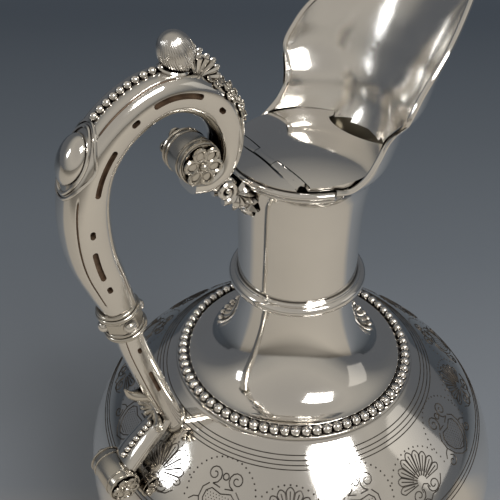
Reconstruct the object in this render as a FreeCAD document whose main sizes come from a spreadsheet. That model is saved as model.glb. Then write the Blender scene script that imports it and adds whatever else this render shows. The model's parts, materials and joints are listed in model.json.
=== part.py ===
"""Silver wine ewer with a hinged lid, in millimetres.

+Z is up, +X points to the spout and -X to the handle.
The origin is the centre of the plane that the foot rests on.
"""
import FreeCAD
import Part
import Sketcher
import math
import os
from types import SimpleNamespace

Vector = FreeCAD.Vector

# Driving dimensions: name, value, meaning
DIMENSIONS = (
    ("wall", 1.1, "thickness of the raised sheet"),
    ("seat_gap", 0.05, "gap left at a soldered curved seat"),
    ("overrun", 3.0, "how far a cutting shape passes what it cuts"),
    ("foot_radius", 43.0, "outer radius of the foot rim"),
    ("foot_rim_width", 5.0, "radial width of the foot rim"),
    ("foot_rim_height", 4.5, "height of the foot rim"),
    ("foot_ledge_height", 1.5, "height of the foot's bead ledge above the rim"),
    ("foot_ledge_width", 5.0, "radial width of the foot's bead ledge"),
    ("foot_ledge_inset", 1.5, "how far the ledge stands in from the rim"),
    ("foot_dome_step", 1.6, "step from the bead ledge up to the spreading foot"),
    ("foot_waist_radius", 11.0, "radius at the foot's narrow top"),
    ("foot_height", 34.0, "height of the bowl's base above the table"),
    ("knop_height", 5.0, "height of the knop under the bowl"),
    ("knop_radius", 12.0, "radius of the knop's base"),
    ("bowl_base_radius", 14.0, "radius of the bowl's flat base"),
    ("girth_radius", 69.5, "largest radius of the body"),
    ("bowl_depth", 80.0, "from the bowl's base up to the girth"),
    ("shoulder_rise", 46.0, "from the girth up to the plane of the shoulder beads"),
    ("shoulder_turn_rise", 28.0, "height of that turn above the girth"),
    ("disc_radius", 38.0, "outer radius of the disc at the neck's base"),
    ("disc_lap", 7.0, "how far the disc lies on the shoulder's rim"),
    ("bead_radius", 1.5, "radius of a border bead"),
    ("bead_gap", 0.14, "gap between neighbouring border beads"),
    ("bead_ring_radius", 36.0, "radius of the shoulder's circle of beads"),
    ("bead_ledge_drop", 1.0, "bead ledge below the plane of the bead centres"),
    ("bead_ledge_width", 4.1, "radial width of the bead ledge"),
    ("disc_step", 1.0, "step up inside the bead ledge"),
    ("flare_radius", 26.0, "radius where the disc turns up into the neck"),
    ("flare_rise", 1.2, "height of that turn above the bead plane"),
    ("waist_radius", 17.3, "narrowest radius of the neck"),
    ("waist_rise", 11.0, "height of the neck's narrowest place above the bead plane"),
    ("neck_radius", 18.0, "radius of the neck at the ring"),
    ("neck_base_rise", 31.8, "height of the neck joint above the bead plane"),
    ("ring_height", 4.6, "height of the neck ring"),
    ("ring_root", 1.0, "flat shoulder of the neck ring beside its round"),
    ("ring_round", 2.1, "how far the ring's round stands out from its shoulders"),
    ("rim_rise", 41.6, "from the neck joint up to the mouth's rim"),
    ("mouth_radius", 22.5, "radius of the mouth's rim"),
    ("mouth_offset", 1.9, "mouth centre in front of the neck's axis"),
    ("lip_reach", 55.0, "how far the lip's tip stands in front of the neck's axis"),
    ("lip_rise", 49.6, "height of the lip's tip above the mouth's rim"),
    ("lip_width", 27.5, "greatest half-width of the lip"),
    ("reed_height", 1.7, "height of one reed of the rim moulding"),
    ("reed_depth", 0.85, "how far a reed stands out"),
    ("reed_root", 0.35, "thickness of the moulding behind its reeds"),
    ("reed_crown", 0.6, "how far the moulding stands above the rim"),
    ("reed_tuck", 0.9, "how far the lower reed is drawn in under the upper one"),
    ("rim_sweep", 140.0, "angle that the rim moulding spans round the mouth"),
    ("rim_scroll_radius", 1.7, "radius of the scroll at each end of the rim moulding"),
    ("lid_clearance", 0.45, "gap between the lid and the mouth's wall"),
    ("lid_lift", 0.3, "gap under the lid's edge"),
    ("lid_thickness", 1.2, "thickness of the lid"),
    ("lid_dome", 3.0, "rise of the lid's dome"),
    ("leaf_relief", 0.55, "how far the leaf's upper edge is eased back for the opening lid"),
    ("leaf_inset", 0.2, "leaf's edge inside the outer edge of the rim"),
    ("pour_radius", 12.2, "radius of the lid's concave front edge"),
    ("pour_depth", 12.2, "distance of that edge in front of the neck's axis"),
    ("hinge_setback", 12.1, "hinge axis behind the neck's axis"),
    ("hinge_height", 1.5, "hinge axis above the rim"),
    ("knuckle_radius", 1.7, "outer radius of a hinge knuckle"),
    ("knuckle_length", 7.8, "length of the lid's knuckle"),
    ("knuckle_gap", 0.2, "gap between knuckles and round a moving knuckle"),
    ("hinge_length", 25.2, "length of the whole hinge"),
    ("pin_radius", 0.6, "radius of the hinge pin"),
    ("pin_clearance", 0.05, "running clearance round the hinge pin"),
    ("handle_inset", 2.8, "how far the handle's reach lies inside the girth"),
    ("handle_rise", 105.7, "rise of the handle above the bead plane"),
    ("arm_thickness", 12.6, "thickness of the arm in the handle's plane"),
    ("arm_width", 12.6, "width of the arm across the handle's plane"),
    ("slot_radius", 0.75, "half the width of a pierced slot"),
    ("dot_radius", 0.9, "radius of a pierced dot"),
    ("collar_radius", 6.2, "radius of the handle collar's rings"),
    ("collar_band", 0.8, "how far the collar's band lies inside its rings"),
    ("collar_ring", 1.7, "height of each ring of the collar"),
    ("stud_radius", 1.6, "radius of a collar stud"),
    ("stem_thickness", 7.8, "thickness of the lower stem in the handle's plane"),
    ("stem_width", 7.8, "width of the lower stem"),
    ("tail_thickness", 5.0, "thickness of the tail scroll"),
    ("tail_width", 9.0, "width of the tail scroll"),
    ("ridge_bead_radius", 1.0, "radius of a bead on the handle's ridge"),
    ("ball_radius", 4.7, "radius of the ball thumbpiece"),
    ("shell_length", 4.4, "half-length of the crest shell"),
    ("flower_radius", 2.4, "radius of a crest flower"),
    ("boss_length", 6.4, "half-length of the oval boss"),
    ("boss_width", 4.4, "half-width of the oval boss"),
    ("boss_height", 2.4, "height of the oval boss"),
    ("boss_border", 1.2, "width of the frame round the boss"),
    ("drum_radius", 5.4, "radius of the inner volute drum"),
    ("drum_half", 5.0, "half-length of the inner volute drum"),
    ("drum_crown", 0.6, "how much the drum swells at its middle"),
    ("rosette_radius", 3.8, "radius of a rosette"),
    ("bracket_height", 7.0, "height of the bracket at the neck"),
    ("bracket_width", 7.0, "width of the bracket at the neck"),
    ("bracket_leaf_length", 6.0, "half-length of the bracket's leaf"),
    ("bracket_leaf_thickness", 1.2, "thickness of the bracket's leaf"),
    ("tendril_radius", 2.0, "radius of the tendril's root"),
    ("stem_shell_radius", 3.6, "radius of the shell on the lower stem"),
    ("barrel_radius", 4.6, "radius of the tail's barrel volute"),
    ("barrel_half", 6.5, "half-length of the tail's barrel volute"),
    ("stem_seat", 2.4, "height of the stem's lowest centre above the shoulder's slope"),
    ("pad_length", 7.0, "half-length of the pad under the stem"),
    ("pad_width", 5.2, "half-width of the pad under the stem"),
    ("pad_height", 2.6, "half-height of the pad under the stem"),
)

# Curvature of round stretches, as the share of the chord that the arc stands out
BOWL_BULGE_SHARE = 0.1564
SHOULDER_BULGE_SHARES = (0.0995, 0.021)
FOOT_BULGE_SHARE = 0.2
KNOP_BULGE_SHARE = 0.3
RIM_BULGE_SHARE = 0.2
FLARE_BULGE_SHARE = 0.17
NECK_BULGE_SHARE = 0.012
COLLAR_BULGE_SHARE = 0.4

# Radius where the shoulder's round turns into its slope, by the girth
SHOULDER_TURN_SHARE = 0.8331

# A bead is a ball cut flat below its centre
BEAD_FLAT_SHARE = 0.5
BEAD_FOOT_SHARE = math.sqrt(0.75)
BEAD_BULGE_SHARE = 0.5 / math.sqrt(3)

# Neck sections: share of the rise to the rim, share of the way from neck to mouth
NECK_SHARES = ((0.0, 0.0), (0.32, -0.02), (0.63, 0.08), (0.82, 0.28), (0.92, 0.57), (1.0, 1.0))
# Lip sections: share of the lip's rise, then centre and half-depth by its reach, half-width by its width
LIP_SHARES = (
    (0.113, 0.078, 0.418, 0.822),
    (0.234, 0.120, 0.400, 0.844),
    (0.355, 0.178, 0.382, 0.985),
    (0.496, 0.225, 0.385, 1.000),
    (0.637, 0.282, 0.391, 1.000),
    (0.819, 0.382, 0.409, 0.964),
    (1.020, 0.564, 0.436, 0.873),
)
# Edge of the lip seen from the side, by its reach and rise: notch up to the cusp, cusp out to the tip
NOTCH_SHARES = ((-0.091, 0.0), (-0.018, -0.016), (0.045, 0.010), (0.105, 0.060), (0.147, 0.117),
                (0.193, 0.206), (0.218, 0.254))
TIP_SHARES = ((0.218, 0.254), (0.225, 0.3125), (0.231, 0.383), (0.302, 0.508), (0.376, 0.593),
              (0.491, 0.6875), (0.636, 0.798), (0.818, 0.909), (1.020, 1.0))

# Handle limbs, from their lower end: place by reach and rise, then thickness and width of the limb
ARM_SHARES = (
    (-0.885, 0.439, 0.75, 0.76), (-0.930, 0.533, 0.90, 0.90), (-0.966, 0.617, 0.97, 0.96),
    (-0.979, 0.705, 0.98, 0.99), (-0.968, 0.788, 0.95, 0.99), (-0.930, 0.859, 0.90, 0.99),
    (-0.857, 0.921, 0.86, 1.00), (-0.755, 0.966, 0.84, 0.99), (-0.645, 0.986, 0.84, 0.97),
    (-0.541, 0.974, 0.82, 0.96), (-0.444, 0.932, 0.79, 0.93), (-0.385, 0.869, 0.72, 0.89),
    (-0.375, 0.804, 0.60, 0.83), (-0.409, 0.748, 0.50, 0.79), (-0.478, 0.723, 0.45, 0.75),
    (-0.548, 0.729, 0.40, 0.71),
)
STEM_SHARES = (
    (-0.690, -0.058, 0.85, 0.95), (-0.726, 0.018, 0.95, 1.00), (-0.771, 0.114, 1.00, 1.00),
    (-0.810, 0.203, 1.00, 1.00), (-0.846, 0.293, 1.00, 1.00), (-0.866, 0.367, 1.00, 1.00),
)
TAIL_SHARES = (
    (-0.960, -0.158, 0.80, 1.15), (-0.900, -0.121, 0.95, 1.10), (-0.835, -0.086, 1.00, 1.00),
    (-0.775, -0.056, 0.95, 0.90), (-0.718, -0.018, 0.70, 0.80),
)
# How square a limb's section is: 2 is an ellipse
LIMB_SQUARENESS = 2.6
RING_POINTS = 12
SKIN_DEGREE = 3
LIMB_STEP_SHARE = 0.28
LIP_STATIONS = 30

# Pierced work on the arm's flanks: ends by the arm's length, height by half its thickness
SLOT_SHARES = ((0.352, 0.448, -0.08), (0.14, 0.21, 0.14), (0.572, 0.672, 0.12))
DOT_SHARES = ((0.26, 0.10), (0.10, 0.14), (0.52, 0.06), (0.74, -0.04))
SLOT_DEPTH_SHARE = 0.74

# Ornament along the arm and tail, by their length
RIDGE_BEAD_SHARES = (0.487, 0.612)
RIDGE_BEADS = 8
BALL_SHARE = 0.632
SHELL_SHARE = 0.672
FLOWER_SHARES = (0.705, 0.735, 0.766)
BOSS_SHARE = 0.40
TAIL_BEAD_SHARES = (0.18, 0.74)
TAIL_BEADS = 6
DRUM_SHARES = (-0.525, 0.795)
BARREL_SHARES = (-0.997, -0.175)
BRACKET_SHARES = ((-0.25, 0.605, 1.0, 1.0), (-0.37, 0.675, 0.75, 0.85), (-0.47, 0.710, 0.55, 0.75))
BRACKET_LEAF_SHARES = (1.3, 0.63)
TENDRIL_SHARES = ((-0.77, 0.075, 1.0, 1.0), (-0.85, 0.10, 0.75, 0.7), (-0.903, 0.137, 0.15, 0.15))
COLLAR_SHARES = ((-0.862, 0.355), (-0.897, 0.449))
STEM_SHELL_SHARE = 0.1
SHELL_LOBES = 5
RIDGE_SINK_SHARE = 0.25
BALL_LIFT_SHARE = 0.88
PETALS = 6
# Shapes of flowers and shells, by their radius
FLOWER_EYE_SHARE = 0.36
PETAL_SHARE = 0.38
PETAL_RING_SHARE = 0.62
FAN_ROOT_SHARE = 0.45
FAN_RING_SHARE = 0.55
FAN_LOBE_SHARES = (0.5, 0.3, 0.24)
STUDS = 4


class Size:
    """A size that knows its number and the sheet expression that gives it."""

    def __init__(self, text, value):
        self.text = text
        self.value = value

    def __float__(self):
        return float(self.value)

    def __add__(self, other):
        other = as_size(other)
        return Size(f"({self.text} + {other.text})", self.value + other.value)

    def __sub__(self, other):
        other = as_size(other)
        return Size(f"({self.text} - {other.text})", self.value - other.value)

    def __mul__(self, other):
        other = as_size(other)
        return Size(f"({self.text} * {other.text})", self.value * other.value)

    def __truediv__(self, other):
        other = as_size(other)
        return Size(f"({self.text} / {other.text})", self.value / other.value)

    def __neg__(self):
        return Size(f"(0 - {self.text})", -self.value)

    __radd__ = __add__
    __rmul__ = __mul__


def as_size(number):
    """A plain number as a size."""
    return number if isinstance(number, Size) else Size(repr(float(number)), float(number))


def root(size):
    """Square root of a size."""
    return Size(f"sqrt({size.text})", math.sqrt(size.value))


def make_sheet(document):
    """Write the driving dimensions into the document's sheet and return them by name."""
    sheet = document.addObject("Spreadsheet::Sheet", "Sizes")
    sizes = {}
    for row, (name, value, meaning) in enumerate(DIMENSIONS, start=1):
        sheet.set(f"A{row}", name)
        sheet.set(f"B{row}", str(value))
        sheet.set(f"C{row}", meaning)
        sheet.setAlias(f"B{row}", name)
        sizes[name] = Size(f"Sizes.{name}", value)
    document.recompute()
    return SimpleNamespace(**sizes)


doc = FreeCAD.newDocument("WineEwer")
d = make_sheet(doc)

# Heights that several pieces share
KNOP_Z = d.foot_height - d.knop_height
GIRTH_Z = d.foot_height + d.bowl_depth
BEAD_Z = GIRTH_Z + d.shoulder_rise
LEDGE_Z = BEAD_Z - d.bead_ledge_drop
DISC_Z = LEDGE_Z - d.wall
JOINT_Z = BEAD_Z + d.neck_base_rise
RIM_Z = JOINT_Z + d.rim_rise
SHOULDER_TURN = d.girth_radius * SHOULDER_TURN_SHARE
HANDLE_REACH = d.girth_radius - d.handle_inset
LID_RADIUS = d.mouth_radius - d.wall - d.lid_clearance
HALF_PI = math.pi / 2


# Sketches and turned bodies

def arc_top(first, last, bulge):
    """The point of an arc that is farthest from its chord."""
    chord = last - first
    out = Vector(chord.y, -chord.x, 0)
    return (first + last) * 0.5 + out * bulge


def arc_centre(first, last, bulge):
    """The two places of the centre of the arc between two corners."""
    share = as_size(bulge)
    shift = share / 2 - as_size(0.125) / share
    across = last[0] - first[0]
    up = last[1] - first[1]
    return (first[0] + last[0]) / 2 + up * shift, (first[1] + last[1]) / 2 - across * shift


def as_corners(corners):
    """Corners whose two places are sizes, each with the bulge of the edge that follows."""
    return [(as_size(c[0]), as_size(c[1]), c[2] if len(c) > 2 else None) for c in corners]


def corner_edges(corners):
    """Lines and arcs of a closed outline, every arc drawn anticlockwise, and the place of each corner."""
    places = [Vector(float(c[0]), float(c[1]), 0) for c in corners]
    edges = []
    for index, corner in enumerate(corners):
        first = places[index]
        last = places[(index + 1) % len(places)]
        if corner[2] is None:
            edges.append(Part.LineSegment(first, last))
            continue
        top = arc_top(first, last, float(corner[2]))
        ends = (first, last) if float(corner[2]) > 0 else (last, first)
        edges.append(Part.Arc(ends[0], top, ends[1]))
    return edges, places


def place_constraint(sketch, kind, axis, edge, end, size):
    """Hold one end of an edge at a size along one axis of the sketch."""
    if size.value == 0:
        sketch.addConstraint(Sketcher.Constraint("PointOnObject", edge, end, axis))
        return
    index = sketch.addConstraint(Sketcher.Constraint(kind, -1, 1, edge, end, size.value))
    sketch.setExpression(f"Constraints[{index}]", size.text)


def plane_of(body, role):
    """One of a body's own origin planes."""
    return next(item for item in body.Origin.OriginFeatures if item.Role == role)


def outline(body, name, role, raw_corners):
    """A closed sketch whose corners are held at sizes from the sheet."""
    corners = as_corners(raw_corners)
    sketch = body.newObject("Sketcher::SketchObject", name)
    sketch.AttachmentSupport = (plane_of(body, role), [""])
    sketch.MapMode = "FlatFace"
    edges, places = corner_edges(corners)
    starts = []
    for edge, corner in zip(edges, corners):
        sketch.addGeometry(edge)
        starts.append(2 if corner[2] is not None and float(corner[2]) < 0 else 1)
    for index, corner in enumerate(corners):
        following = (index + 1) % len(corners)
        end = 3 - starts[index]
        sketch.addConstraint(Sketcher.Constraint("Coincident", index, end, following, starts[following]))
        place_constraint(sketch, "DistanceX", -2, index, starts[index], corner[0])
        place_constraint(sketch, "DistanceY", -1, index, starts[index], corner[1])
        if corner[2] is not None:
            centre = arc_centre(corner, corners[following], corner[2])
            chord = places[following] - places[index]
            if abs(chord.y) > abs(chord.x):
                place_constraint(sketch, "DistanceX", -2, index, 3, centre[0])
            else:
                place_constraint(sketch, "DistanceY", -1, index, 3, centre[1])
    return sketch


def put(thing, along=None, up=None):
    """Place an object along X and Z by sizes."""
    for axis, size in (("x", along), ("z", up)):
        if size is not None:
            thing.setExpression(f"Placement.Base.{axis}", as_size(size).text)


def new_body(label):
    """An empty body with its label."""
    body = doc.addObject("PartDesign::Body", label)
    body.Label = label
    return body


def turned(label, corners, along=None, up=None):
    """A body turned about its own vertical axis from a half outline."""
    body = new_body(label)
    sketch = outline(body, f"{label}_outline", "XZ_Plane", corners)
    turn = body.newObject("PartDesign::Revolution", f"{label}_turn")
    turn.Profile = sketch
    turn.ReferenceAxis = (sketch, ["V_Axis"])
    turn.Angle = 360
    put(body, along, up)
    return body


def bead_ring(label, ring_radius, up):
    """A circle of beads, as many as fit with their gaps."""
    body = new_body(label)
    foot = d.bead_radius * BEAD_FOOT_SHARE
    flat = d.bead_radius * BEAD_FLAT_SHARE
    corners = [
        (ring_radius, -flat),
        (ring_radius + foot, -flat, BEAD_BULGE_SHARE),
        (ring_radius, d.bead_radius),
    ]
    sketch = outline(body, f"{label}_outline", "XZ_Plane", corners)
    low, high = (Vector(float(ring_radius), float(end), 0) for end in (-flat, d.bead_radius))
    axis = sketch.addGeometry(Part.LineSegment(low, high), True)
    sketch.addConstraint(Sketcher.Constraint("Coincident", axis, 1, 0, 1))
    sketch.addConstraint(Sketcher.Constraint("Coincident", axis, 2, 2, 1))
    bead = body.newObject("PartDesign::Revolution", f"{label}_bead")
    bead.Profile = sketch
    bead.ReferenceAxis = (sketch, ["Axis0"])
    bead.Angle = 360
    doc.recompute()
    ring = body.newObject("PartDesign::PolarPattern", f"{label}_ring")
    ring.Originals = [bead]
    ring.Axis = (plane_of(body, "Z_Axis"), [""])
    ring.Angle = 360
    pitch = d.bead_radius * 2 + d.bead_gap
    count = ring_radius * (2 * math.pi) / pitch
    ring.setExpression("Occurrences", f"floor({count.text})")
    body.Tip = ring
    put(body, up=up)
    return body


# Foot and body

def make_foot():
    """Foot rim, spreading foot with its beads, and the knop under the bowl."""
    rim_inside = d.foot_radius - d.foot_rim_width
    ledge_outside = d.foot_radius - d.foot_ledge_inset
    ledge_inside = ledge_outside - d.foot_ledge_width
    ledge_top = d.foot_rim_height + d.foot_ledge_height
    dome_top = ledge_top + d.foot_dome_step
    turned("foot_rim", [
        (rim_inside, 0),
        (d.foot_radius, 0, RIM_BULGE_SHARE),
        (ledge_outside, d.foot_rim_height),
        (rim_inside, d.foot_rim_height),
    ])
    turned("foot", [
        (rim_inside, d.foot_rim_height),
        (ledge_outside, d.foot_rim_height),
        (ledge_outside, ledge_top),
        (ledge_inside, ledge_top),
        (ledge_inside, dome_top, -FOOT_BULGE_SHARE),
        (d.foot_waist_radius, KNOP_Z),
        (d.foot_waist_radius - d.wall, KNOP_Z, FOOT_BULGE_SHARE),
        (ledge_inside - d.wall, dome_top - d.wall),
        (ledge_inside - d.wall, ledge_top - d.wall),
        (rim_inside, ledge_top - d.wall),
    ])
    ledge_middle = (ledge_outside + ledge_inside) / 2
    bead_ring("foot_beads", ledge_middle, ledge_top + d.bead_radius * BEAD_FLAT_SHARE)
    turned("foot_knop", [
        (0, KNOP_Z),
        (d.knop_radius, KNOP_Z, KNOP_BULGE_SHARE),
        (d.bowl_base_radius, d.foot_height),
        (0, d.foot_height),
    ])


def shoulder_outside():
    """Corners of the shoulder's outer face, from the girth up to the disc."""
    return [
        (d.girth_radius, GIRTH_Z, SHOULDER_BULGE_SHARES[0]),
        (SHOULDER_TURN, GIRTH_Z + d.shoulder_turn_rise, SHOULDER_BULGE_SHARES[1]),
        (d.disc_radius, DISC_Z),
    ]


def make_vessel():
    """Bowl and shoulder, the two halves of the body."""
    turned("bowl", [
        (0, d.foot_height),
        (d.bowl_base_radius, d.foot_height, BOWL_BULGE_SHARE),
        (d.girth_radius, GIRTH_Z),
        (d.girth_radius - d.wall, GIRTH_Z, -BOWL_BULGE_SHARE),
        (d.bowl_base_radius - d.wall / 2, d.foot_height + d.wall),
        (0, d.foot_height + d.wall),
    ])
    slant = d.wall * math.sqrt(0.5)
    turn_z = GIRTH_Z + d.shoulder_turn_rise
    turned("shoulder", shoulder_outside() + [
        (d.disc_radius - d.disc_lap, DISC_Z),
        (d.disc_radius - d.disc_lap, DISC_Z - d.wall),
        (d.disc_radius - slant, DISC_Z - d.wall, -SHOULDER_BULGE_SHARES[1]),
        (SHOULDER_TURN - slant, turn_z - slant, -SHOULDER_BULGE_SHARES[0]),
        (d.girth_radius - d.wall, GIRTH_Z),
    ])


def make_neck_base():
    """Disc with its bead ledge, flared lower neck and the ring over the neck joint."""
    ledge_inside = d.disc_radius - d.bead_ledge_width
    step_z = LEDGE_Z + d.disc_step
    flare_z = BEAD_Z + d.flare_rise
    waist_z = BEAD_Z + d.waist_rise
    turned("neck_base", [
        (d.disc_radius, DISC_Z),
        (d.disc_radius, LEDGE_Z),
        (ledge_inside, LEDGE_Z),
        (ledge_inside, step_z),
        (d.flare_radius, flare_z, -FLARE_BULGE_SHARE),
        (d.waist_radius, waist_z, -NECK_BULGE_SHARE),
        (d.neck_radius, JOINT_Z),
        (d.neck_radius - d.wall, JOINT_Z, NECK_BULGE_SHARE),
        (d.waist_radius - d.wall, waist_z, FLARE_BULGE_SHARE),
        (d.flare_radius - d.wall, flare_z - d.wall),
        (ledge_inside - d.wall, step_z - d.wall),
        (ledge_inside - d.wall, DISC_Z),
    ])
    bead_ring("shoulder_beads", d.bead_ring_radius, LEDGE_Z + d.bead_radius * BEAD_FLAT_SHARE)
    ring_inside = d.neck_radius + d.seat_gap
    ring_shoulder = d.neck_radius + d.ring_root
    ring_low = JOINT_Z - d.ring_height / 2
    ring_high = JOINT_Z + d.ring_height / 2
    turned("neck_ring", [
        (ring_inside, ring_low),
        (ring_shoulder, ring_low, d.ring_round / d.ring_height),
        (ring_shoulder, ring_high),
        (ring_inside, ring_high),
    ])


# Free shapes

def feature(label, shape):
    """An object that holds a shape made by code."""
    thing = doc.addObject("Part::Feature", label)
    thing.Label = label
    thing.Shape = shape
    return thing


def spline(points):
    """A smooth open curve through points."""
    curve = Part.BSplineCurve()
    curve.interpolate(points)
    return curve


def skin(rings):
    """A solid whose smooth round side follows rings of points, closed by flat ends."""
    count = len(rings[0])
    swell = 3 / (2 + math.cos(2 * math.pi / count))
    poles = []
    for ring in rings:
        middle = sum(ring, Vector()) * (1 / count)
        poles.append([middle + (point - middle) * swell for point in ring])
    spans = len(rings) - SKIN_DEGREE
    long_knots = list(range(spans + 1))
    long_mults = [SKIN_DEGREE + 1] + [1] * (spans - 1) + [SKIN_DEGREE + 1]
    round_knots = list(range(count + 1))
    side = Part.BSplineSurface()
    side.buildFromPolesMultsKnots(poles, long_mults, [1] * (count + 1), long_knots, round_knots,
                                  False, True, SKIN_DEGREE, SKIN_DEGREE)
    ends = [Part.Face(Part.Wire(side.uIso(knot).toShape())) for knot in (0, spans)]
    shell = Part.makeShell([side.toShape()] + ends)
    shell.sewShape()
    solid = Part.makeSolid(shell)
    return solid if solid.Volume > 0 else solid.reversed()


def oval(centre_x, z, depth, width):
    """Points of a level oval, by its half-depth along X and half-width along Y."""
    turns = [2 * math.pi * step / RING_POINTS for step in range(RING_POINTS)]
    return [Vector(centre_x + depth * math.cos(t), width * math.sin(t), z) for t in turns]


def smooth(rows, at):
    """Values at a place along rows that start with their place, joined by smooth cubics."""
    last = len(rows) - 1
    low = 0
    while low < last - 1 and at > rows[low + 1][0]:
        low += 1
    start, end = rows[low], rows[low + 1]
    before, after = rows[max(low - 1, 0)], rows[min(low + 2, last)]
    span = end[0] - start[0]
    t = (at - start[0]) / span
    values = []
    for column in range(1, len(start)):
        leave = span * (end[column] - before[column]) / (end[0] - before[0])
        arrive = span * (after[column] - start[column]) / (after[0] - start[0])
        rise = end[column] - start[column]
        values.append(start[column] + t * (leave + t * (
            3 * rise - 2 * leave - arrive + t * (leave + arrive - 2 * rise))))
    return values


def lip_sections():
    """Height, centre, half-depth and half-width of many sections of the neck and lip."""
    rows = []
    for rise_share, mouth_share in NECK_SHARES:
        radius = d.neck_radius + (d.mouth_radius - d.neck_radius) * mouth_share
        rows.append((JOINT_Z + d.rim_rise * rise_share, d.mouth_offset * mouth_share, radius, radius))
    for rise_share, centre_share, depth_share, width_share in LIP_SHARES:
        rows.append((RIM_Z + d.lip_rise * rise_share, d.lip_reach * centre_share,
                     d.lip_reach * depth_share, d.lip_width * width_share))
    rows = [tuple(float(size) for size in row) for row in rows]
    low, high = rows[0][0], rows[-1][0]
    heights = [low + (high - low) * step / LIP_STATIONS for step in range(LIP_STATIONS + 1)]
    return [[height] + smooth(rows, height) for height in heights]


def lip_solid(inset=0.0, longer=0.0):
    """The neck and lip as a filled form, drawn in by an inset and longer at both ends."""
    rows = lip_sections()
    rows[0][0] -= longer
    rows[-1][0] += longer
    return skin([oval(x, z, depth - inset, width - inset) for z, x, depth, width in rows])


def lip_trim():
    """Everything behind and above the lip's edge, as seen from the side."""
    reach, rise, rim = float(d.lip_reach), float(d.lip_rise), float(RIM_Z)
    over = float(d.overrun)
    side = float(d.lip_width + d.overrun)
    back = -float(d.mouth_radius + d.mouth_radius)
    top = rim + rise + 2 * over

    def seen(share):
        return Vector(reach * share[0], -side, rim + rise * share[1])

    notch = [seen(share) for share in NOTCH_SHARES]
    tip = [seen(share) for share in TIP_SHARES]
    corners = [tip[-1], Vector(tip[-1].x + over, -side, top), Vector(back, -side, top),
               Vector(back, -side, rim), notch[0]]
    edges = [spline(notch).toShape(), spline(tip).toShape()]
    edges += [Part.LineSegment(a, b).toShape() for a, b in zip(corners, corners[1:])]
    wire = Part.Wire(Part.__sortEdges__(edges))
    return Part.Face(wire).extrude(Vector(0, 2 * side, 0))


def make_lip():
    """Upper neck and flaring lip, one sheet."""
    hollow = lip_solid(float(d.wall), float(d.overrun))
    return feature("neck_lip", lip_solid().cut(hollow).cut(lip_trim()))


# Rim, lid and hinge

def make_rim(neck):
    """Reeded moulding round the back of the mouth, and a scroll at each end."""
    outside = d.mouth_radius + d.reed_root
    inside = d.mouth_radius - d.reed_height
    middle = d.reed_crown - d.reed_height
    bottom = middle - d.reed_height
    low_outside = outside - d.reed_tuck
    bulge = d.reed_depth / d.reed_height
    corners = as_corners([
        (inside, bottom), (low_outside, bottom, bulge), (outside, middle, bulge),
        (outside, d.reed_crown), (d.mouth_radius, d.reed_crown), (d.mouth_radius, 0), (inside, 0)])
    edges, places = corner_edges(corners)
    face = Part.Face(Part.Wire([edge.toShape() for edge in edges]))
    face.rotate(Vector(), Vector(1, 0, 0), 90)
    half = float(d.rim_sweep) / 2
    face.rotate(Vector(), Vector(0, 0, 1), 180 - half)
    moulding = face.revolve(Vector(), Vector(0, 0, 1), 2 * half)
    moulding.translate(Vector(float(d.mouth_offset), 0, float(RIM_Z)))
    moulding = moulding.cut(neck)
    feature("rim_moulding", moulding)
    radius = float(d.rim_scroll_radius)
    reach = float(outside)
    height = float(RIM_Z + middle)
    ends = []
    for side in (-1, 1):
        turn = math.radians(180 + side * half)
        place = Vector(float(d.mouth_offset) + reach * math.cos(turn), reach * math.sin(turn), height)
        ends.append(Part.makeSphere(radius, place))
    feature("rim_scrolls", Part.makeCompound(ends).cut(neck).cut(moulding))
    return moulding


def hinge_rod(radius, length):
    """A rod along the hinge axis, centred on the handle's plane."""
    start = Vector(-float(d.hinge_setback), -length / 2, float(RIM_Z + d.hinge_height))
    return Part.makeCylinder(radius, length, start, Vector(0, 1, 0))


def make_cover():
    """Lid plate and fixed leaf, each cut to its side of the hinge."""
    hinge_x = -float(d.hinge_setback)
    wide = float(d.mouth_radius) * 2
    low = float(RIM_Z) - wide / 2
    lid_dome = dome_shape(LID_RADIUS, d.lid_lift)
    leaf_dome = dome_shape(d.mouth_radius - d.leaf_inset, as_size(0))
    behind = Part.makeBox(wide, 2 * wide, wide, Vector(hinge_x - wide, -wide, low))
    before = Part.makeBox(2 * wide, 2 * wide, wide, Vector(hinge_x, -wide, low))
    knuckle = float(d.knuckle_radius)
    gap = float(d.knuckle_gap)
    lid_length = float(d.knuckle_length)
    lid_seat = hinge_rod(knuckle, lid_length)
    lid_room = hinge_rod(knuckle + gap, wide).cut(hinge_rod(knuckle + gap, lid_length))
    leaf_seat = hinge_rod(knuckle, wide)
    leaf_room = hinge_rod(knuckle + gap, lid_length + 2 * gap)
    pour_x = float(d.pour_depth + d.pour_radius)
    pour = Part.makeCylinder(float(d.pour_radius), wide, Vector(pour_x, 0, low))
    lid = lid_dome.cut(behind).cut(pour).cut(lid_seat).cut(lid_room)
    relief = float(d.leaf_relief)
    above = Vector(-wide, -wide, float(RIM_Z + d.hinge_height) + relief)
    lid_swing = hinge_rod(knuckle + relief, wide).common(Part.makeBox(2 * wide, 2 * wide, wide, above))
    leaf = leaf_dome.cut(before).cut(leaf_seat).cut(leaf_room).cut(lid_swing)
    feature("lid_plate", lid)
    feature("hinge_leaf", leaf)


def dome_shape(radius, base):
    """The shallow dome that the lid and leaf are cut from."""
    low, edge, dome = float(base), float(d.lid_thickness), float(d.lid_dome)
    rim = float(radius)
    ball = (rim * rim + dome * dome) / (2 * dome)
    bulge = math.tan(math.asin(rim / ball) / 4) / 2
    corners = as_corners([(0, low + dome, -bulge), (rim, low), (rim, low + edge, bulge), (0, low + edge + dome)])
    solid = spun(corners)
    solid.translate(Vector(float(d.mouth_offset), 0, float(RIM_Z)))
    return solid


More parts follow.
